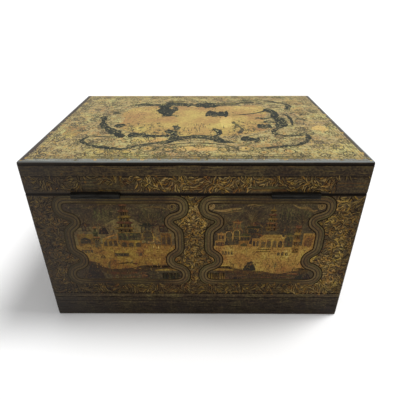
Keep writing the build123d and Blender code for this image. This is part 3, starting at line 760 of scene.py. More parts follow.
def reeds(work, rng, place, tone=0.5, powder="greenGold"):
    # a dark bed with a comb of leaning blades
    u, right, low, high = place
    work.shape(box(u, right, low, high - 2), "ink", 0.8, 2)
    while u < right:
        tip = (u + rng.uniform(-1.4, 1.4), high - rng.uniform(0, 0.35) * (high - low))
        work.stroke([(u, low + rng.uniform(0, 2)), tip], taper(rng.uniform(0.6, 1.1)), powder,
                    tone + rng.uniform(-0.25, 0.25), 4)
        u += rng.uniform(0.9, 1.6)


def ripples(work, rng, place, tone=0.35, powder="redGold"):
    # short level strokes of light on the water
    left, right, v, high = place
    while v < high:
        u = left + rng.uniform(0, 5)
        while u < right - 3:
            end = min(u + rng.uniform(4, 14), right)
            work.stroke([(u, v), ((u + end) / 2, v + 0.4), (end, v)], rng.uniform(0.5, 1.0), powder,
                        tone + rng.uniform(-0.02, 0.32), 3)
            u = end + rng.uniform(1, 5)
        v += rng.uniform(1.3, 2.1)


def line(work, rng, path, width=1.2, tone=0.7, powder="sideGold", level=4):
    work.stroke(smooth(path, 3, False), swell(width), powder, tone, level)


def hatch(work, rng, place, count, lean=0.0, tone=0.75, powders=("sideGold", "sideGold", "redGold")):
    # short leaning strokes over gilt ground: tiles, paving, fences and low plants
    left, right, low, high = place
    for k in range(count):
        u, v = rng.uniform(left, right), rng.uniform(low, high)
        long = rng.uniform(1.5, 5.0)
        powder = rng.choice(powders)
        shade = tone + rng.uniform(-0.14, 0.2)
        turn = 1.57 + lean + rng.uniform(-0.25, 0.25) if rng.random() < 0.75 else rng.uniform(-0.2, 0.2)
        leaf(work, u, v, turn, long, rng.uniform(0.5, 1.0), powder, shade, 5)


def put(motif, place, **settings):
    # one motif of a view
    return motif, place, settings


# The two views of the photographed side, each from its own middle
groundPowders = ("sideGold", "sideGold", "sideGold", "paleGold", "redGold")
leftView = {
    "ground": [(-57, 112), (57, 112), (57, 87), (50, 84), (20, 83), (6, 79), (-12, 77), (-27, 79), (-34, 86),
               (-50, 93)],
    "groundTone": 0.68,
    "haze": [(-58, 110), (58, 110), (56, 132), (44, 138), (24, 141), (6, 150), (-8, 148), (-24, 139), (-44, 137),
             (-57, 131)],
    "motifs": [
        put(cloud, [(-42, 162), (-29, 164), (-22, 167), (-11, 167.5), (-3, 166)], tone=0.5, width=1.5),
        put(cloud, [(22, 163), (36, 164), (45, 163), (52, 159)], tone=0.55, curl=(56, 164, 5)),
        put(line, [(-54, 161), (-48, 162), (-43, 161)], tone=0.4, powder="greenGold"),
        put(willow, (-31, -9, 143, 163), tone=0.42),
        put(willow, (20, 47, 138, 162), tone=0.36),
        put(fan, (-52, -30, 138, 156), tone=0.32, powder="bronze"),
        put(fan, (16, 44, 140, 160), rays=15, tone=0.32, powder="bronze"),
        put(fan, (24, 40, 134, 150), tone=0.3, powder="redGold"),
        put(tower, (-9, 14, 130, 171), storeys=5, tone=0.5, powder="sideGold"),
        put(hall, (-46, -38, 132, 140), bays=2, tone=0.3, roof=4, powder="redGold"),
        put(tower, (-37, -27, 118, 141), storeys=3, tone=0.62),
        put(rock, (-28, -17, 128, 139), tone=0.25),
        put(hall, (20, 33, 130, 139), bays=3, tone=0.36, roof=4, powder="greenGold"),
        put(hall, (40, 50, 131, 140), bays=2, tone=0.32, powder="redGold"),
        put(hall, (-53, -36, 113, 127.5), bays=1, tone=0.6),
        put(archway, (-35, -28, 109, 121), tone=0.6),
        put(hall, (-25, -8, 110, 121), bays=3, tone=0.62),
        put(line, [(-25, 121), (-17, 124.5), (-8, 127.5)], width=1.6, tone=0.85),
        put(line, [(-8, 128), (-8, 119), (-8, 111)], width=1.2, tone=0.85),
        put(hall, (-7, 19, 119, 130), bays=5, tone=0.55, powder="greenGold"),
        put(hall, (-5, 19, 109, 118.6), bays=3, tone=0.66),
        put(archway, (21, 33, 119, 133), tone=0.75),
        put(hatch, (20, 40, 88, 117), count=60, lean=-0.3, tone=0.8),
        put(line, [(32, 127), (36, 122), (41, 117)], width=1.4, tone=0.8),
        put(hall, (41.5, 53, 111, 129), bays=2, tone=0.62),
        put(hall, (-14, 3, 96, 101), bays=6, tone=0.45, powder="greenGold"),
        put(hall, (11, 19, 96, 103), bays=2, tone=0.7, powder="redGold", roof=3),
        put(hall, (-52, -38, 100, 107), bays=4, tone=0.7, roof=3),
        put(rock, (-31, -25, 93, 99), tone=0.5, powder="sideGold"),
        put(fan, (-26, -18, 78, 88), tone=0.5, rays=8),
        put(hatch, (-50, 52, 84, 108), count=190, tone=0.56, powders=groundPowders),
        put(hatch, (-28, 18, 75, 88), count=60, tone=0.6),
        put(line, [(-15, 84), (0, 86.5), (14, 84)], width=1.4, tone=0.7, powder="ink"),
        put(rock, (-50, -30, 63, 86), tone=0.3),
        put(rock, (-56, -47, 62, 74), tone=0.4, powder="sideGold"),
        put(line, [(20, 80), (38, 80.5), (55, 80)], width=2.0, tone=0.6, powder="ink"),
        put(line, [(31, 75), (46, 75.8), (62, 75.5)], width=2.2, tone=0.72),
        put(reeds, (40, 61, 59, 73), tone=0.42),
        put(ripples, (-24, 22, 60, 73), tone=0.42),
        put(ripples, (-56, 40, 57, 62), tone=0.25, powder="greenGold"),
        put(ripples, (18, 40, 62, 78), tone=0.28, powder="mist"),
    ],
}
rightView = {
    "ground": [(-57, 111), (57, 111), (57, 84), (52, 78), (38, 74), (20, 70), (0, 74), (-20, 76), (-40, 80), (-52, 82)],
    "groundTone": 0.8,
    "haze": [(-58, 110), (58, 110), (57, 138), (44, 146), (20, 152), (4, 150), (-18, 148), (-32, 150), (-46, 142),
             (-57, 132)],
    "motifs": [
        put(cloud, [(-58, 160), (-47, 159), (-37, 161), (-28, 162)], width=2.6, tone=0.8, curl=(-60, 165, 4.4)),
        put(cloud, [(-22, 165), (-14, 168), (-7, 169)], width=2.4, tone=0.7),
        put(line, [(6, 172), (13, 168)], tone=0.6),
        put(cloud, [(27, 167), (35, 163), (43, 163), (49, 159), (54, 160)], width=2.2, tone=0.7, curl=(58, 165, 4.4)),
        put(fan, (-30, 0, 143, 162), rays=17, tone=0.4, powder="bronze"),
        put(fan, (-22, -4, 138, 152), tone=0.36, powder="redGold"),
        put(willow, (15, 28, 134, 166), tone=0.42),
        put(willow, (28, 50, 140, 163), tone=0.34),
        put(fan, (-56, -34, 140, 157), tone=0.34, powder="bronze"),
        put(fan, (26, 54, 141, 161), rays=15, tone=0.3, powder="bronze"),
        put(tower, (-1, 15, 133, 163), storeys=5, tone=0.6, powder="sideGold"),
        put(hall, (-22, -4, 129, 136), bays=4, tone=0.42, powder="greenGold", roof=3),
        put(hall, (-46, -37, 133, 142), bays=4, tone=0.36, powder="mist"),
        put(hall, (-35, -28, 135, 144), bays=2, tone=0.66, powder="redGold", roof=4),
        put(hall, (-52, -45, 120, 128), bays=2, tone=0.75, powder="redGold", roof=3),
        put(hall, (-55, -45, 111, 118.5), bays=5, tone=0.74, powder="redGold"),
        put(archway, (-44, -36, 118, 132), tone=0.92),
        put(archway, (-35, -28, 120, 134), tone=0.86),
        put(hall, (-27, -16, 119, 125), bays=3, tone=0.6, powder="greenGold", roof=4),
        put(hall, (-28, -17, 110.5, 118), bays=1, tone=0.74, window="greenGold"),
        put(hall, (-13, -5, 110, 122), bays=2, tone=0.8),
        put(line, [(-12, 130), (-5, 127), (1, 124)], width=2.0, tone=0.6, powder="redGold"),
        put(hall, (-4, 22, 108, 122), bays=4, tone=0.78, roof=5.5),
        put(archway, (-6, 1, 108, 121), tone=0.85),
        put(archway, (3, 9, 108, 122), tone=0.85),
        put(hall, (23, 33, 110, 126), bays=3, tone=0.66, powder="greenGold", roof=4),
        put(tower, (32, 42, 102, 144), storeys=4, tone=0.68, powder="sideGold", narrow=0.8),
        put(hall, (44, 56.5, 109, 129), bays=1, tone=0.76, window="redGold"),
        put(hatch, (45, 55, 110, 125), count=26, tone=0.5),
        put(line, [(-8, 106.5), (10, 106.5)], width=0.9, tone=0.8, powder="ink", level=6),
        put(line, [(-8, 103.5), (10, 103.5)], width=0.9, tone=0.8, powder="ink", level=6),
        put(hall, (-48, -34, 98, 106), bays=4, tone=0.86, roof=4),
        put(hall, (16, 30, 97, 104), bays=3, tone=0.84, roof=4),
        put(rock, (-21, -6, 75, 89), tone=0.45, powder="greenGold"),
        put(fan, (12, 20, 80, 90), tone=0.55, rays=7),
        put(hatch, (-54, 54, 82, 107), count=260, tone=0.62, powders=groundPowders),
        put(hatch, (-8, 40, 73, 84), count=50, tone=0.7),
        put(line, [(-54, 80), (-42, 80.5), (-32, 80)], width=1.8, tone=0.6, powder="ink"),
        put(line, [(-62, 76), (-48, 76.5), (-32, 75.5)], width=2.8, tone=0.74),
        put(line, [(38, 77), (46, 77.6), (55, 77)], width=1.6, tone=0.6, powder="ink"),
        put(line, [(30, 69.5), (40, 70), (49, 69)], width=1.6, tone=0.66, powder="redGold"),
        put(reeds, (-63, -43, 60, 73), tone=0.62, powder="sideGold"),
        put(rock, (-34, -24, 57, 67), tone=0.34),
        put(rock, (42, 52, 61, 72), tone=0.35, powder="greenGold"),
        put(rock, (52, 61, 61, 70), tone=0.3),
        put(hatch, (-16, 22, 58, 71), count=70, tone=0.46, powders=("sideGold", "redGold", "mist")),
        put(ripples, (-44, 44, 57, 74), tone=0.36),
        put(ripples, (20, 58, 58, 68), tone=0.4, powder="greenGold"),
    ],
}

# The cusped frames of the views: half widths and heights, from the top down, of the frame's middle line.
# Its lines are a distance from it, a width, a powder and a tone.
frameForm = {
    "profile": [(0, 173), (25, 173.4), (48, 173.6), (61, 173), (67, 169), (68.3, 162), (66, 156), (60.5, 152.6),
                (54.8, 150.4), (51.5, 146.4), (52, 141.5), (56, 137.5), (60.4, 133), (62.2, 127), (62.3, 118),
                (62.3, 110), (61, 104.6), (57, 100.6), (52.8, 97), (50.8, 92), (51.6, 86.6), (55.6, 82.2),
                (61.5, 79.6), (66.6, 75.6), (69, 69.5), (68, 62.6), (63.6, 57.8), (55, 55.8), (34, 55.4), (14, 56.4),
                (0, 57)],
    "band": 10.8,
    "clear": 1.0,
    "lines": [(-5.0, 1.2, "ink", 0.5), (-1.4, 1.0, "mist", 0.16), (2.2, 0.7, "mist", 0.2), (5.0, 1.2, "ink", 0.5),
              (-3.2, 0.9, "bronze", 0.6), (3.6, 0.9, "greenGold", 0.5)],
    # the level runs above high and below low are rubbed more than the uprights, over half and its fade
    "wear": {"half": 56, "fade": 14, "high": 150, "above": 1.0, "low": 66, "below": 1.25},
    # and the chest's left end is rubbed from here outwards
    "end": {"from": -118, "fade": 30, "most": 0.6},
}

# Over each view lies a veil of fine strokes in the tones of its ground, which wear has run together
gardenVeil = [
    put(hatch, (-60, 60, 134, 168), count=300, tone=0.62, lean=-0.5, powders=("mist", "mist", "bronze", "greenGold")),
    put(hatch, (-56, 56, 106, 140), count=330, tone=0.55, powders=("sideGold", "bronze", "redGold", "mist")),
    put(hatch, (-52, 52, 78, 108), count=200, tone=0.6),
    put(hatch, (-60, 60, 56, 86), count=240, tone=0.46, powders=("mist", "greenGold", "sideGold", "bronze")),
]
gardenScheme = {
    "shore": [(-62, 60), (62, 60), (66, 68), (56, 77), (20, 74), (0, 72), (-30, 76), (-56, 77), (-66, 68)],
    # the ground's lower edge, below this height, is rubbed browner over this width
    "edgeBelow": 100,
    "edgeWide": 9,
    # how much darker than their own tones the ground and its veil, and the motifs, are laid
    "groundDim": 0.1,
    "motifDim": 0.16,
}


def viewFrame(work, outline, centre, extra):
    wear, end = frameForm["wear"], frameForm["end"]

    def worn(u, v):
        middle = min(1.0, max(0.0, (wear["half"] + extra - abs(u - centre)) / wear["fade"]))
        share = wear["above"] if v > wear["high"] else wear["below"] if v < wear["low"] else 0.0
        return max(middle * share, min(end["most"], max(0.0, (end["from"] - u) / end["fade"])))

    work.stroke(outline, frameForm["band"], "bronze", lambda u, v: 0.5 - 0.17 * worn(u, v), 7, closed=True)
    for distance, width, powder, shade in frameForm["lines"]:
        # wear pales the black lines and darkens the others
        change = 0.6 if powder == "ink" else -0.3
        work.stroke(beside(outline, distance), width, powder, lambda u, v: shade + change * worn(u, v), 8, closed=True)


def garden(work, centre, extra, flip, contents, rng):
    # extra widens the frame for a longer view, which then holds both views side by side
    profile = [(half + (extra if half > 20 else 0), v) for half, v in frameForm["profile"]]
    outline = smooth(profile + [(-half, v) for half, v in profile[-2:0:-1]], 6)
    work.shift, work.flip = centre, 1
    work.shape(outline, "mist", 0.5, 1)
    work.flip = flip
    for over, (middle, view) in enumerate(contents):
        work.shift = centre + middle
        # two views side by side overlap, so the second lies half a level higher
        work.raised = over / 2
        # darker water, a haze of dust behind the buildings, the ground's rubbed edge and the ground
        rubbed = [(u, v - gardenScheme["edgeWide"]) if v < gardenScheme["edgeBelow"] else (u, v)
                  for u, v in view["ground"]]
        work.dim = gardenScheme["groundDim"]
        for form, powder, tone, level in ((gardenScheme["shore"], "mist", 0.42, 1.2), (view["haze"], "mist", 0.84, 1.3),
                                          (rubbed, "sideGold", 0.36, 1.6),
                                          (view["ground"], "sideGold", view["groundTone"], 2)):
            work.shape(smooth(form, 3), powder, tone, level)
        for dim, motifs in ((gardenScheme["motifDim"], view["motifs"]), (gardenScheme["groundDim"], gardenVeil)):
            work.dim = dim
            for motif, place, settings in motifs:
                motif(work, rng, place, **settings)
    work.shift, work.flip, work.dim, work.raised = centre, 1, 0.0, 0.0
    viewFrame(work, outline, centre, extra)
    work.shift = 0.0
    clear = frameForm["band"] / 2 + frameForm["clear"]
    return lambda u, v: abs(u - centre) > along(profile, v) + clear


print("motifs ready")

# The four sides: where the middle of each one's foot lies, the way across it and half its width
sides = {
    "hinge_side": ((0, -chest["halfDepth"], 0), (1, 0, 0), chest["halfWidth"]),
    "lock_side": ((0, chest["halfDepth"], 0), (-1, 0, 0), chest["halfWidth"]),
    "left_side": ((-chest["halfWidth"], 0, 0), (0, -1, 0), chest["halfDepth"]),
    "right_side": ((chest["halfWidth"], 0, 0), (0, 1, 0), chest["halfDepth"]),
}

# One side of the case, in millimetres from the floor: a strip of scrolls under the field of views.
# Sheets of thin dust are a low and a high edge and a tone, black rules a height and a width, and streaks
# lie between two heights.
sideScheme = {
    "margin": 1.6,
    "foot": 3,
    "footSheets": [(3, 20, 0.26), (20, 36.6, 0.36), (31.2, 36.6, 0.52)],
    "footRules": [(37.5, 1.5), (30.8, 0.9), (24.4, 0.6)],
    "footStreaks": (5, 35),
    "stripLow": 38.5,
    "stripHigh": 52,
    "fieldHigh": 176.6,
    "sheetHigh": 177,
    "sheetTone": 0.54,
    "seamShadowLine": 178.0,
    "rim": 178.3,
}

# The keyhole in the lock side's board, a round hole over a slot for the key's bit, and the gold about it:
# a band in three rings, each a growth, a width and a tone, and a line round the hole. The scrolls stop
# short of it between the two heights of clear.
keyhole = {
    "middle": chest["rim"] - 21,
    "radius": 3.2,
    "foot": chest["rim"] - 29,
    "slotHalf": 1.3,
    "margin": 0.25,
    "ringMiddle": chest["rim"] - 23.6,
    "ringHalfWide": 7,
    "ringHalfHigh": 10,
    "rings": [(0, 0.7, 0.6), (-1.3, 0.35, 0.5), (1.2, 0.35, 0.45)],
    "rimMargin": 0.7,
    "clear": (145, 169),
}


def glow(base, patches):
    # brightness of the gilding: base plus round patches (u, v, radius, gain) that are less worn
    return lambda u, v: base + sum(g * math.exp(-((u - a) ** 2 + (v - b) ** 2) / r ** 2) for a, b, r, g in patches)


def keyholeEdge(side, margin):
    # half of the keyhole's outline from its top to its foot, margin outside it
    radius, slotHalf = keyhole["radius"] + margin, keyhole["slotHalf"] + margin
    meet = -math.acos(slotHalf / radius)
    turns = [math.pi / 2 + (meet - math.pi / 2) * k / 14 for k in range(15)]
    footTurns = [-math.pi / 2 * k / 6 for k in range(7)]
    return (oval(0, keyhole["middle"], side * radius, radius, turns)
            + oval(0, keyhole["foot"] + keyhole["slotHalf"], side * slotHalf, slotHalf, footTurns))


def caseSide(side, seed, views, scrolls, brightness):
    rng = random.Random(seed)
    origin, across, half = sides[side]
    locked = side == "lock_side"
    edge = half - sideScheme["margin"]
    low, high, top = sideScheme["stripLow"], sideScheme["stripHigh"], sideScheme["fieldHigh"]
    work = Decoration("case_gilding_" + side, "case", origin, across, (0, 0, 1),
                      ((-edge, sideScheme["foot"]), (edge, sideScheme["rim"])))
    # thin gold dust over the whole side, darker towards the foot
    for bottom, ceiling, tone in sideScheme["footSheets"]:
        work.shape(box(-edge, edge, bottom, ceiling), "mist", tone, 0)
    ceiling = sideScheme["sheetHigh"]
    for hand in (-1, 1):
        inner = keyholeEdge(hand, keyhole["margin"]) if locked else []
        work.shape([(0, low), (hand * edge, low), (hand * edge, ceiling), (0, ceiling)] + inner, "mist",
                   sideScheme["sheetTone"], 0)
    for v, width in sideScheme["footRules"]:
        work.stroke([(-edge, v), (edge, v)], width, "ink", 0.2, 2)
    # a black line along the case's top, just under the seam: painted shadow of the gap between case and lid
    work.stroke([(-edge, sideScheme["seamShadowLine"]), (edge, sideScheme["seamShadowLine"])], 0.8, "ink", 0.0, 10)
    footLow, footHigh = sideScheme["footStreaks"]
    streaks(work, ((-edge, footLow), (edge, footHigh)), 5.0, rng, (5, 16), 0.5, (0.4, 0.9), ("mist", "mist", "ink"),
            lambda u, v: 0.26 + 0.009 * v, (-0.1, 0.12), 1)
    # frames and views, then the scrolls, sprigs and close filling between them
    clears = [garden(work, *view, rng) for view in views]
    lockLow, lockHigh = keyhole["clear"]

    def free(u, v):
        if locked and abs(u) < keyhole["ringHalfWide"] and lockLow < v < lockHigh:
            return False
        return all(clear(u, v) for clear in clears)

    area = ((-edge, high), (edge, top))
    for u, v, radius, turns, start in scrolls:
        if free(u, v):
            scroll(work, u, v, radius, turns, start, brightness(u, v) + 0.1, rng, level=3)
    growth(work, area, (2.1, 6.4, 3.3), rng, free, brightness, (-0.1, 0.0, -0.1))
    # strip of scrolls under the views
    strip = ((-edge, low), (edge, high + 1))
    growth(work, strip, (2.1, 5.6, 3.0), rng, lambda u, v: True, brightness, (-0.21, -0.11, -0.15), (9, 9, 10), 0.5)
    if locked:
        for grow, width, tone in keyhole["rings"]:
            ring = oval(0, keyhole["ringMiddle"], keyhole["ringHalfWide"] + grow, keyhole["ringHalfHigh"] + grow,
                        wholeTurn(40))
            work.stroke(ring, width, "sideGold", tone, 2, closed=True)
        left, right = (keyholeEdge(hand, keyhole["rimMargin"]) for hand in (-1, 1))
        work.stroke(right + left[::-1], 0.5, "paleGold", 0.6, 2, closed=True)
    work.build()


hingeGlow = glow(0.42, [(-5, 150, 24, 0.2), (0, 110, 24, 0.04), (156, 110, 34, 0.14), (160, 165, 26, 0.08),
                        (152, 70, 24, 0.1), (-165, 120, 60, -0.08), (-168, 60, 30, -0.04), (-10, 45, 50, 0.08),
                        (140, 45, 36, 0.16), (-120, 45, 30, -0.04), (180, 160, 13, -0.16), (180, 128, 16, -0.16),
                        (180, 92, 16, -0.16), (180, 60, 13, -0.12)])
plainGlow = glow(0.42, [(0, 130, 60, 0.14), (0, 45, 80, 0.08), (150, 100, 40, 0.08), (-150, 120, 40, 0.04)])

# Scrolls: place, radius, turns (negative ones wind the other way) and the turn where they start
rightScrolls = [(157, 164, 8, 0.9, 1.0), (150, 146, 7, -0.8, 2.6), (161, 132, 8, 0.9, 4.2), (155, 114, 7.5, -0.9, 1.4),
                (163, 98, 8, 0.9, 3.4), (150, 89, 7, -0.8, 5.2), (163, 76, 8, 0.9, 0.6), (161, 59, 7, -0.9, 2.2),
                (172, 148, 5, 0.8, 0.0), (172, 114, 5, -0.8, 3.0)]
endScrolls = [(hand * u, v, radius, hand * turns, start)
              for hand in (-1, 1) for u, v, radius, turns, start in rightScrolls]
columnScrolls = [(-5, 163, 5, 0.9, 1.2), (2, 153, 5, -0.9, 4.0), (-8, 146, 6, 0.9, 2.0), (4, 142, 6, -0.9, 0.4),
                 (-2, 131, 4.5, 0.9, 5.0), (-2, 118, 4, -0.9, 2.2), (-2, 106, 4, 0.9, 0.8), (-7, 94, 6, -0.9, 3.6),
                 (5, 88, 6, 0.9, 1.0), (-2, 77, 4.5, -0.9, 4.4), (-2, 64, 4.5, 0.9, 2.4)]

# Each side's views (middle, extra width, flip and contents), scrolls and brightness
hingeViews = [(-81, 0, 1, [(0, leftView)]), (77, 0, 1, [(0, rightView)])]
lockViews = [(-80, 0, -1, [(0, rightView)]), (80, 0, -1, [(0, leftView)])]
endView = [(0, 50, 1, [(-52, leftView), (54, rightView)])]
sideContents = {
    "hinge_side": (hingeViews, endScrolls + columnScrolls, hingeGlow),
    "lock_side": (lockViews, endScrolls, plainGlow),
    "left_side": (endView, [], plainGlow),
    "right_side": (endView, [], plainGlow),
}
for seed, (side, contents) in enumerate(sideContents.items(), 11):
    caseSide(side, seed, *contents)


# The lid's edge: a dense scroll band above the seam and a smoother, worn band above it
lidScheme = {
    "rim": 180.6,
    "sheetLow": 181.6,
    "low": 183,
    "high": 199.4,
    "rule": 199.9,
    "upperLow": 200.4,
    "upperHigh": 213.4,
    "upperRule": 212.7,
    # plain panels on the hinge side, where the scroll stops short of the seam: left, right and upper edges
    "panels": [(-98, -62, 191.5), (-119, -101, 197), (58, 96, 189.5), (-176, -170, 198), (146, 178, 198)],
    "panelRules": (0.12, 0.38, 0.64, 0.9),
}
lidGlow = glow(0.3, [(-20, 190, 40, 0.18), (35, 190, 40, 0.14), (90, 192, 40, 0.1), (128, 190, 26, 0.1),
                     (-170, 190, 50, -0.05)])


def lidSide(side, seed, panels):
    rng = random.Random(seed)
    origin, across, half = sides[side]
    edge = half - sideScheme["margin"]
    low, high, upperLow, upperHigh = (lidScheme[key] for key in ("low", "high", "upperLow", "upperHigh"))
    work = Decoration("lid_gilding_" + side, "lid", origin, across, (0, 0, 1),
                      ((-edge, lidScheme["rim"]), (edge, upperHigh)))
    work.shape(box(-edge, edge, lidScheme["sheetLow"], high), "mist", 0.46, 0)
    work.shape(box(-edge, edge, upperLow, upperHigh), "mist", 0.44, 0)
    work.stroke([(-edge, lidScheme["rule"]), (edge, lidScheme["rule"])], 0.9, "ink", 0.3, 1)
    work.stroke([(-edge, lidScheme["upperRule"]), (edge, lidScheme["upperRule"])], 1.4, "ink", 0.2, 1)

    def free(u, v):
        return all(not (left < u < right and v < ceiling) for left, right, ceiling in panels)

    area = ((-edge, low), (edge, high))
    growth(work, area, (2.1, 6.2, 3.0), rng, free, lidGlow, (-0.1, -0.06, 0.02), sweep=0.5)
    for left, right, ceiling in panels:
        for share in lidScheme["panelRules"]:
            v = low + share * (ceiling - low)
            work.stroke([(left + 1, v), (right - 1, v)], 0.8, rng.choice(("greenGold", "sideGold", "mist")),
                        lidGlow(left, low) + rng.uniform(-0.05, 0.1), 3)
    # upper band: long soft strokes of worn gold
    streaks(work, ((-edge, upperLow + 1), (edge, upperHigh - 1)), 4.2, rng, (6, 20), 0.6, (0.4, 1.0),
            ("mist", "mist", "bronze"), lambda u, v: 0.4 + 0.08 * math.cos(u / 60), (-0.1, 0.1), 2)
    work.build()


for seed, side in enumerate(sides, 31):
    lidSide(side, seed, lidScheme["panels"] if side == "hinge_side" else [])


# The lid's top: a worn gilt ground with leaf scrolls, and a plain gold middle under broad black lines that
# are rubbed into blotches
topScheme = {
    "inset": 2.6,
    # pale edges of rubbed lacquer, the front one lighter as a painted highlight: the corners they run between, a width
    # and a tone
    "edges": [(((-1, -1), (1, -1)), 5.0, 0.76), (((-1, -1), (-1, 1)), 4.4, 0.34), (((1, -1), (1, 1)), 3.6, 0.4)],
    # rules round the top: an inset, a width, a powder and a tone
    "rules": [(5.6, 0.9, "greenGold", 0.6), (8.8, 0.7, "bareCoat", 0.9), (12.0, 0.8, "greenGold", 0.5)],
    # patches of better gold: a place, half its width and height, a tone and a level
    "patches": [(-49, -70, 24, 7, 0.84, 3.5), (2, -97, 26, 7, 0.86, 3.5), (153, -30, 13, 10, 0.84, 3.5),
                (143, 43, 10, 22, 0.62, 2.5), (146, 88, 14, 16, 0.6, 2.5), (-150, -40, 12, 26, 0.56, 2.5),
                (76, -88, 20, 6, 0.66, 2.5), (-84, -106, 16, 5, 0.66, 2.5), (56, 58, 27, 11, 0.78, 4.5),
                (-78, 40, 15, 12, 0.74, 4.5), (38, -2, 10, 24, 0.82, 4.5)],
    # sprigs over the ground outside the middle: a size, a tone and a powder
    "sprigs": [(10, 0.3, "oldLeaf"), (8, 0.7, "topGold"), (7, 0.7, "greenGold")],
    # and patches of them over the middle, which stop short of its centre
    "middleSprigs": [(((-100, -56), (-10, -12)), 9, 0.5, "greenGold"), (((44, -58), (100, -4)), 7, 0.6, "bareCoat"),
                     (((-124, -92), (124, -62)), 7, 0.6, "greenGold")],
    "middle": [(-92, 58), (-70, 66), (-40, 71), (0, 66), (44, 68), (84, 72), (97, 58), (96, 30), (88, 6), (92, -18),
               (84, -38), (58, -52), (26, -58), (-20, -58), (-58, -50), (-84, -40), (-100, -22), (-96, 6), (-104, 30)],
    "bareCentre": (0, 5, 46),
    # each line has a height of its own: the first level, and the step to the next
    "lineLevels": (6.03, 0.047),
    # black lines: a width, a tone and a path
    "lines": [
        (10, 0.55, [(-94, 74), (-82, 77), (-68, 74), (-50, 72)]),
        (11, 0.72, [(-70, 75), (-40, 74), (-10, 75), (20, 74), (44, 77)]),
        (17, 0.5, [(-48, 78), (-36, 82), (-24, 78), (-8, 74)]),
        (24, 0.42, [(-4, 76), (8, 74), (20, 74), (32, 78)]),
        (10, 0.85, [(-44, 98), (-34, 92), (-20, 96)]),
        (11, 0.75, [(28, 80), (48, 80), (66, 86), (86, 92)]),
        (4.5, 0.5, [(56, 95), (74, 101), (92, 102.5), (108, 96), (122, 86)]),
        (7, 0.42, [(118, 88), (130, 82), (134, 72), (132, 60), (126, 50)]),
        (3.2, 0.55, [(122, 62), (110, 60), (101, 56), (95, 48), (93, 42), (84, 35), (70, 29), (55, 25), (42, 24)]),
        (11, 0.45, [(96, 54), (102, 44), (107, 30), (104, 14), (107, 0), (107, -14), (102, -30)]),
        (8, 0.42, [(108, 14), (112, 2), (112, -12), (108, -26)]),
        (4, 0.55, [(117, 28), (123, 20), (124, 0), (121, -20)]),
        (5, 0.5, [(102, -28), (94, -40), (94, -50), (101, -56), (116, -57), (129, -49)]),
        (5, 0.55, [(129, -48), (131, -60), (124, -76), (112, -86), (94, -91), (70, -96)]),
        (7.5, 0.45, [(-127, 20), (-123, 4), (-121, -12), (-114, -30)]),
        (9, 0.65, [(-116, 39), (-111, 29)]),
        (12, 0.45, [(-116, -24), (-106, -36), (-96, -48), (-86, -63)]),
        (13, 0.45, [(-104, -18), (-92, -22)]),
        (2.4, 0.6, [(-127, -57), (-112, -59.5), (-100, -59), (-86, -57)]),
        (6, 0.52, [(-126, -59), (-131, -70), (-124, -82), (-108, -91), (-92, -95), (-80, -98), (-70, -92), (-62, -84)]),
        (13, 0.45, [(-81, -52), (-70, -54), (-60, -52)]),
        (8, 0.5, [(-64, -57), (-46, -58), (-32, -56)]),
        (10, 0.45, [(-38, -40), (-28, -46), (-27, -56), (-24, -66)]),
        (7, 0.6, [(-28, -20), (-24, -30), (-26, -38)]),
        (9.5, 0.5, [(-46, -80), (-33, -77), (-24, -67), (-14, -61), (0, -58.5), (14, -61), (22, -66), (29, -75),
          (42, -78)]),
        (3.0, 0.6, [(-22, -72), (-10, -66), (0, -64.5), (10, -66), (20, -72)]),
        (7, 0.45, [(20, -32), (27, -42), (26, -54), (21, -61)]),
        (13, 0.5, [(52, -64), (62, -68), (72, -72)]),
        (6, 0.6, [(-60, -87), (-48, -81), (-34, -77)]),
        (6, 0.6, [(78, 12), (86, 9), (96, 9)]),
        (13, 0.5, [(76, -22), (85, -23), (94, -22)]),
        (6, 0.6, [(86, -5), (94, -8), (100, -6)]),
        (20, 0.42, [(-49, 74), (-47, 52), (-43, 36), (-40, 18)]),
        (8, 0.5, [(-34, 66), (-32, 52), (-34, 42)]),
        (5, 0.65, [(-31, 24), (-27, 18)]),
        (22, 0.42, [(12, 33), (22, 31), (32, 30), (43, 29)]),
        (8, 0.6, [(22, 24), (26, 17)]),
        (4, 0.75, [(46, -6), (52, -20), (56, -36), (50, -50)]),
        (2.2, 0.7, [(128, 30), (136, 36), (144, 30), (140, 22)]),
        (2.2, 0.75, [(128, -2), (134, 8), (142, 4), (138, -4)]),
        (1.8, 0.6, [(-46, -104), (-42, -94), (-30, -85), (-12, -81), (0, -80.4), (12, -81), (30, -85), (42, -94),
          (46, -104)]),
        (1.4, 0.7, [(-36, -106), (-30, -97), (-14, -90), (0, -88.5), (14, -90), (30, -97), (36, -106)]),
        (1.0, 0.8, [(-110, -113), (0, -114), (110, -113)]),
        (1.5, 0.74, [(-120, -117), (0, -117.8), (118, -117)]),
        (1.1, 0.8, [(-114, -121.4), (0, -122), (112, -121.4)]),
    ],
    "rings": [(-52, -96, 9), (-30, -99, 6), (30, -99, 6), (54, -96, 9), (72, -107, 5), (-74, -106, 5), (100, -104, 6),
              (-102, -106, 6)],
}


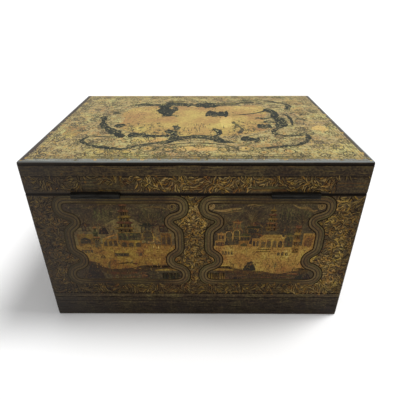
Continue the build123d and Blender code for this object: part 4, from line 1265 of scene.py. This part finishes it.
def lidTop():
    rng = random.Random(57)
    half, deep = chest["halfWidth"] - topScheme["inset"], chest["halfDepth"] - topScheme["inset"]
    work = Decoration("lid_gilding_top", "lid", (0, 0, chest["lidTop"]), (1, 0, 0), (0, 1, 0),
                      ((-half, -deep), (half, deep)))
    work.shape(box(-half, half, -deep, deep), "oldLeaf", 0.56, 1)
    for ends, width, tone in topScheme["edges"]:
        # the front edge's light strip is a painted highlight
        work.stroke([(a * (half - width / 2), b * (deep - width / 2)) for a, b in ends], width, "bloomAndHighlight", tone, 2)
    for inset, width, powder, tone in topScheme["rules"]:
        work.stroke(box(inset - half, half - inset, inset - deep, deep - inset), width, powder, tone, 5, closed=True)
    for u, v, wide, high, tone, level in topScheme["patches"]:
        rim = [(u + wide * rng.uniform(0.7, 1.2) * math.cos(0.5236 * k),
                v + high * rng.uniform(0.7, 1.2) * math.sin(0.5236 * k)) for k in range(12)]
        work.shape(smooth(rim, 4), "topGold", tone, level)
    middle = smooth(topScheme["middle"], 6)
    centreU, centreV, centreRadius = topScheme["bareCentre"]

    def outside(u, v):
        return abs(u) < half - 5 and abs(v) < deep - 5 and not inside(middle, u, v)

    def within(u, v):
        return inside(middle, u, v) and math.hypot(u - centreU, v - centreV) > centreRadius

    area = ((5 - half, 5 - deep), (half - 5, deep - 5))
    for spacing, tone, powder in topScheme["sprigs"]:
        foliage(work, area, spacing, rng, outside, lambda u, v: tone, powder, 3)
    for u, v in scattered(21, *area, rng):
        if outside(u, v):
            scroll(work, u, v, rng.uniform(5, 8), rng.choice((-1.5, 1.5)), rng.uniform(0, 6), 0.5, rng, "greenGold", 4)
    litter(work, area, 2.6, rng, outside, lambda u, v: 0.56, ("topGold", "oldLeaf", "oldLeaf"), 3)
    # the middle: smooth leaf with a town in fine upright strokes towards the hinges
    work.shape(middle, "topGold", 0.68, 4)
    litter(work, area, 4.2, rng, within, lambda u, v: 0.6, ("topGold", "greenGold", "topGold"), 5)
    for patch, spacing, tone, powder in topScheme["middleSprigs"]:
        foliage(work, patch, spacing, rng, within, lambda u, v: tone, powder, 5)
    for k in range(120):
        u, v = rng.gauss(0, 16), rng.uniform(-54, -14)
        long = rng.uniform(3, 9)
        work.stroke([(u, v), (u + rng.uniform(-0.6, 0.6), v + long)], taper(rng.uniform(0.7, 1.6)),
                    rng.choice(("bareCoat", "greenGold", "topGold")), rng.uniform(0.5, 0.9), 6)
    firstLevel, levelStep = topScheme["lineLevels"]
    for k, (width, tone, path) in enumerate(topScheme["lines"]):
        curve = smooth(path, 9, False)
        work.stroke(curve, ragged(width, rng), "bareCoat", tone, firstLevel + levelStep * k)
        # the rubbed edge breaks up into flecks, and flecks of leaf are left inside
        for u, v in curve:
            for spread, powder, shade in ((0.62, "bareCoat", tone + 0.1), (0.4, "oldLeaf", 0.25)):
                if width > 4 and rng.random() < 0.6:
                    a, b = u + width * spread * rng.uniform(-1, 1), v + width * spread * rng.uniform(-1, 1)
                    leaf(work, a, b, rng.uniform(0, 6.28), rng.uniform(2, 5), rng.uniform(0.8, 2.0), powder,
                         shade + rng.uniform(-0.15, 0.2), 8)
    for u, v, radius in topScheme["rings"]:
        ring = oval(u, v, radius, radius, [0.39 * k for k in range(16)])
        work.stroke(ring, 1.2, "bareCoat", 0.75, 9, closed=True)
        blossom(work, u, v, 0.6 * radius, "topGold", 0.8, rng, level=9)
    work.build()


lidTop()


# The canisters' shoulders carry a cut border and sprigs, as pewter tea canisters do. The rules of the
# border are an inset and a width, and the leaves between them a length and a width.
shoulder = {
    "height": 155.0,
    "margin": 5,
    "rules": [(2, 0.6), (3.6, 0.35), (11, 0.35)],
    "corner": 9,
    "collar": 3,
    "sprigSize": 13,
    "sprigsFromCollar": 6,
    "sprigsFromEdge": 14,
    "leaves": 40,
    "leafInset": 7.4,
    "leafEnds": 13,
    "leafSize": (3.2, 1.1),
}


def shoulderEngraving(side):
    rng = random.Random(71)
    low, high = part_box(side + "_canister")
    capLow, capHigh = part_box(side + "_canister_lid")
    halfU, halfV = ((high[axis] - low[axis]) / 2 / mm - shoulder["margin"] for axis in (0, 1))
    collar = (capHigh.x - capLow.x) / 2 / mm + shoulder["collar"]
    middle = ((low.x + high.x) / 2 / mm, (low.y + high.y) / 2 / mm, shoulder["height"])
    area = ((-halfU, -halfV), (halfU, halfV))
    work = Decoration(side + "_canister_engraving", side + "_canister", middle, (1, 0, 0), (0, 1, 0), area)
    for inset, width in shoulder["rules"]:
        u, v, cut = halfU - inset, halfV - inset, shoulder["corner"]
        work.stroke([(-u + cut, -v), (u - cut, -v), (u, -v + cut), (u, v - cut), (u - cut, v), (-u + cut, v),
                     (-u, v - cut), (-u, -v + cut)], width, "engraving", 0.5, 1, closed=True)
    ring = oval(0, 0, collar, collar, [0.13 * k for k in range(48)])
    work.stroke(ring, 0.5, "engraving", 0.5, 1, closed=True)

    def clear(u, v):
        edge = shoulder["sprigsFromEdge"]
        clearOfCollar = math.hypot(u, v) > collar + shoulder["sprigsFromCollar"]
        return clearOfCollar and abs(u) < halfU - edge and abs(v) < halfV - edge

    foliage(work, area, shoulder["sprigSize"], rng, clear, lambda u, v: 0.5, "engraving", 1)
    inset, ends = shoulder["leafInset"], shoulder["leafEnds"]
    for k in range(shoulder["leaves"]):
        share = k / (shoulder["leaves"] - 1) * 2 - 1
        for edge in (-1, 1):
            for u, v, heading in ((share * (halfU - ends), edge * (halfV - inset), 1.57 * edge + 0.6),
                                  (edge * (halfU - inset), share * (halfV - ends), 0.6 if edge > 0 else 3.74)):
                leaf(work, u, v, heading, *shoulder["leafSize"], "engraving", 0.5)
    work.build()


for side in ("left", "right"):
    shoulderEngraving(side)
print("decoration built")


# Studio: a pale floor, an overhead sun with a wide disc for soft shade, and an even sky
studio = {
    "floorSize": 60.0,
    "floorShade": "#9A9A98",
    "sky": 0.45,
    "lampAngle": 20,
    # lamps: a name, a strength and where it shines from
    "lamps": [("key", 2.2, (0.44, 0.13, 1.0)), ("fill", 0.3, (-0.3, -1.0, 0.6))],
}


def seenDirectly(tree):
    # one for rays that show the background: from the camera, in gloss and through glass
    path = addNode(tree, "LightPath", {}).outputs
    first = maths(tree, "MAXIMUM", path["Is Camera Ray"], path["Is Glossy Ray"])
    return maths(tree, "MAXIMUM", first, path["Is Transmission Ray"])


def buildStudio():
    scene = bpy.context.scene
    scene.world = bpy.data.worlds.new("studio")
    scene.world.use_nodes = True
    tree = scene.world.node_tree
    tree.nodes.clear()
    strength = remap(tree, seenDirectly(tree), 0.0, 1.0, studio["sky"], 1.0)
    sky = addNode(tree, "Background", {"Color": linear("#FFFFFF"), "Strength": strength})
    addNode(tree, "OutputWorld", {"Surface": sky.outputs["Background"]})

    material, tree = newFinish("painted studio floor")
    colour = blend(tree, seenDirectly(tree), "#FFFFFF", linear(studio["floorShade"]))
    matt = addNode(tree, "BsdfDiffuse", {"Color": colour})
    addNode(tree, "OutputMaterial", {"Surface": matt.outputs["BSDF"]})
    half = studio["floorSize"] / 2
    mesh = bpy.data.meshes.new("studio_floor")
    mesh.from_pydata([(u, v, 0) for u, v in box(-half, half, -half, half)], [], [(0, 1, 2, 3)])
    mesh.materials.append(material)
    floor = bpy.data.objects.new("studio_floor", mesh)
    scene.collection.objects.link(floor)

    for name, strength, source in studio["lamps"]:
        lamp = bpy.data.lights.new(name, "SUN")
        lamp.energy, lamp.angle = strength, math.radians(studio["lampAngle"])
        holder = bpy.data.objects.new(name, lamp)
        holder.rotation_mode = "QUATERNION"
        holder.rotation_quaternion = Vector(source).to_track_quat("Z", "Y")
        scene.collection.objects.link(holder)


# The camera stands where the photograph was taken from, found from the chest's corners. Its turns, in
# degrees, are made in this order.
photoCamera = {
    "place": (0.0072, -0.4552, 0.3624),
    "turns": [("Z", 0.454), ("X", -30.39), ("Y", 0.173), ("X", 90)],
    "lens": 31.92,
    "sensor": 36.0,
    "near": 0.01,
    "far": 200,
}


def buildCamera():
    data = bpy.data.cameras.new("camera")
    data.lens, data.sensor_width = photoCamera["lens"], photoCamera["sensor"]
    data.clip_start, data.clip_end = photoCamera["near"], photoCamera["far"]
    camera = bpy.data.objects.new("camera", data)
    turned = Matrix.Identity(4)
    for axis, degrees in photoCamera["turns"]:
        turned = turned @ Matrix.Rotation(math.radians(degrees), 4, axis)
    camera.matrix_world = Matrix.Translation(photoCamera["place"]) @ turned
    bpy.context.scene.collection.objects.link(camera)
    bpy.context.scene.camera = camera


buildStudio()
buildCamera()
bpy.context.scene.view_settings.view_transform = "Standard"
print("studio and camera ready")
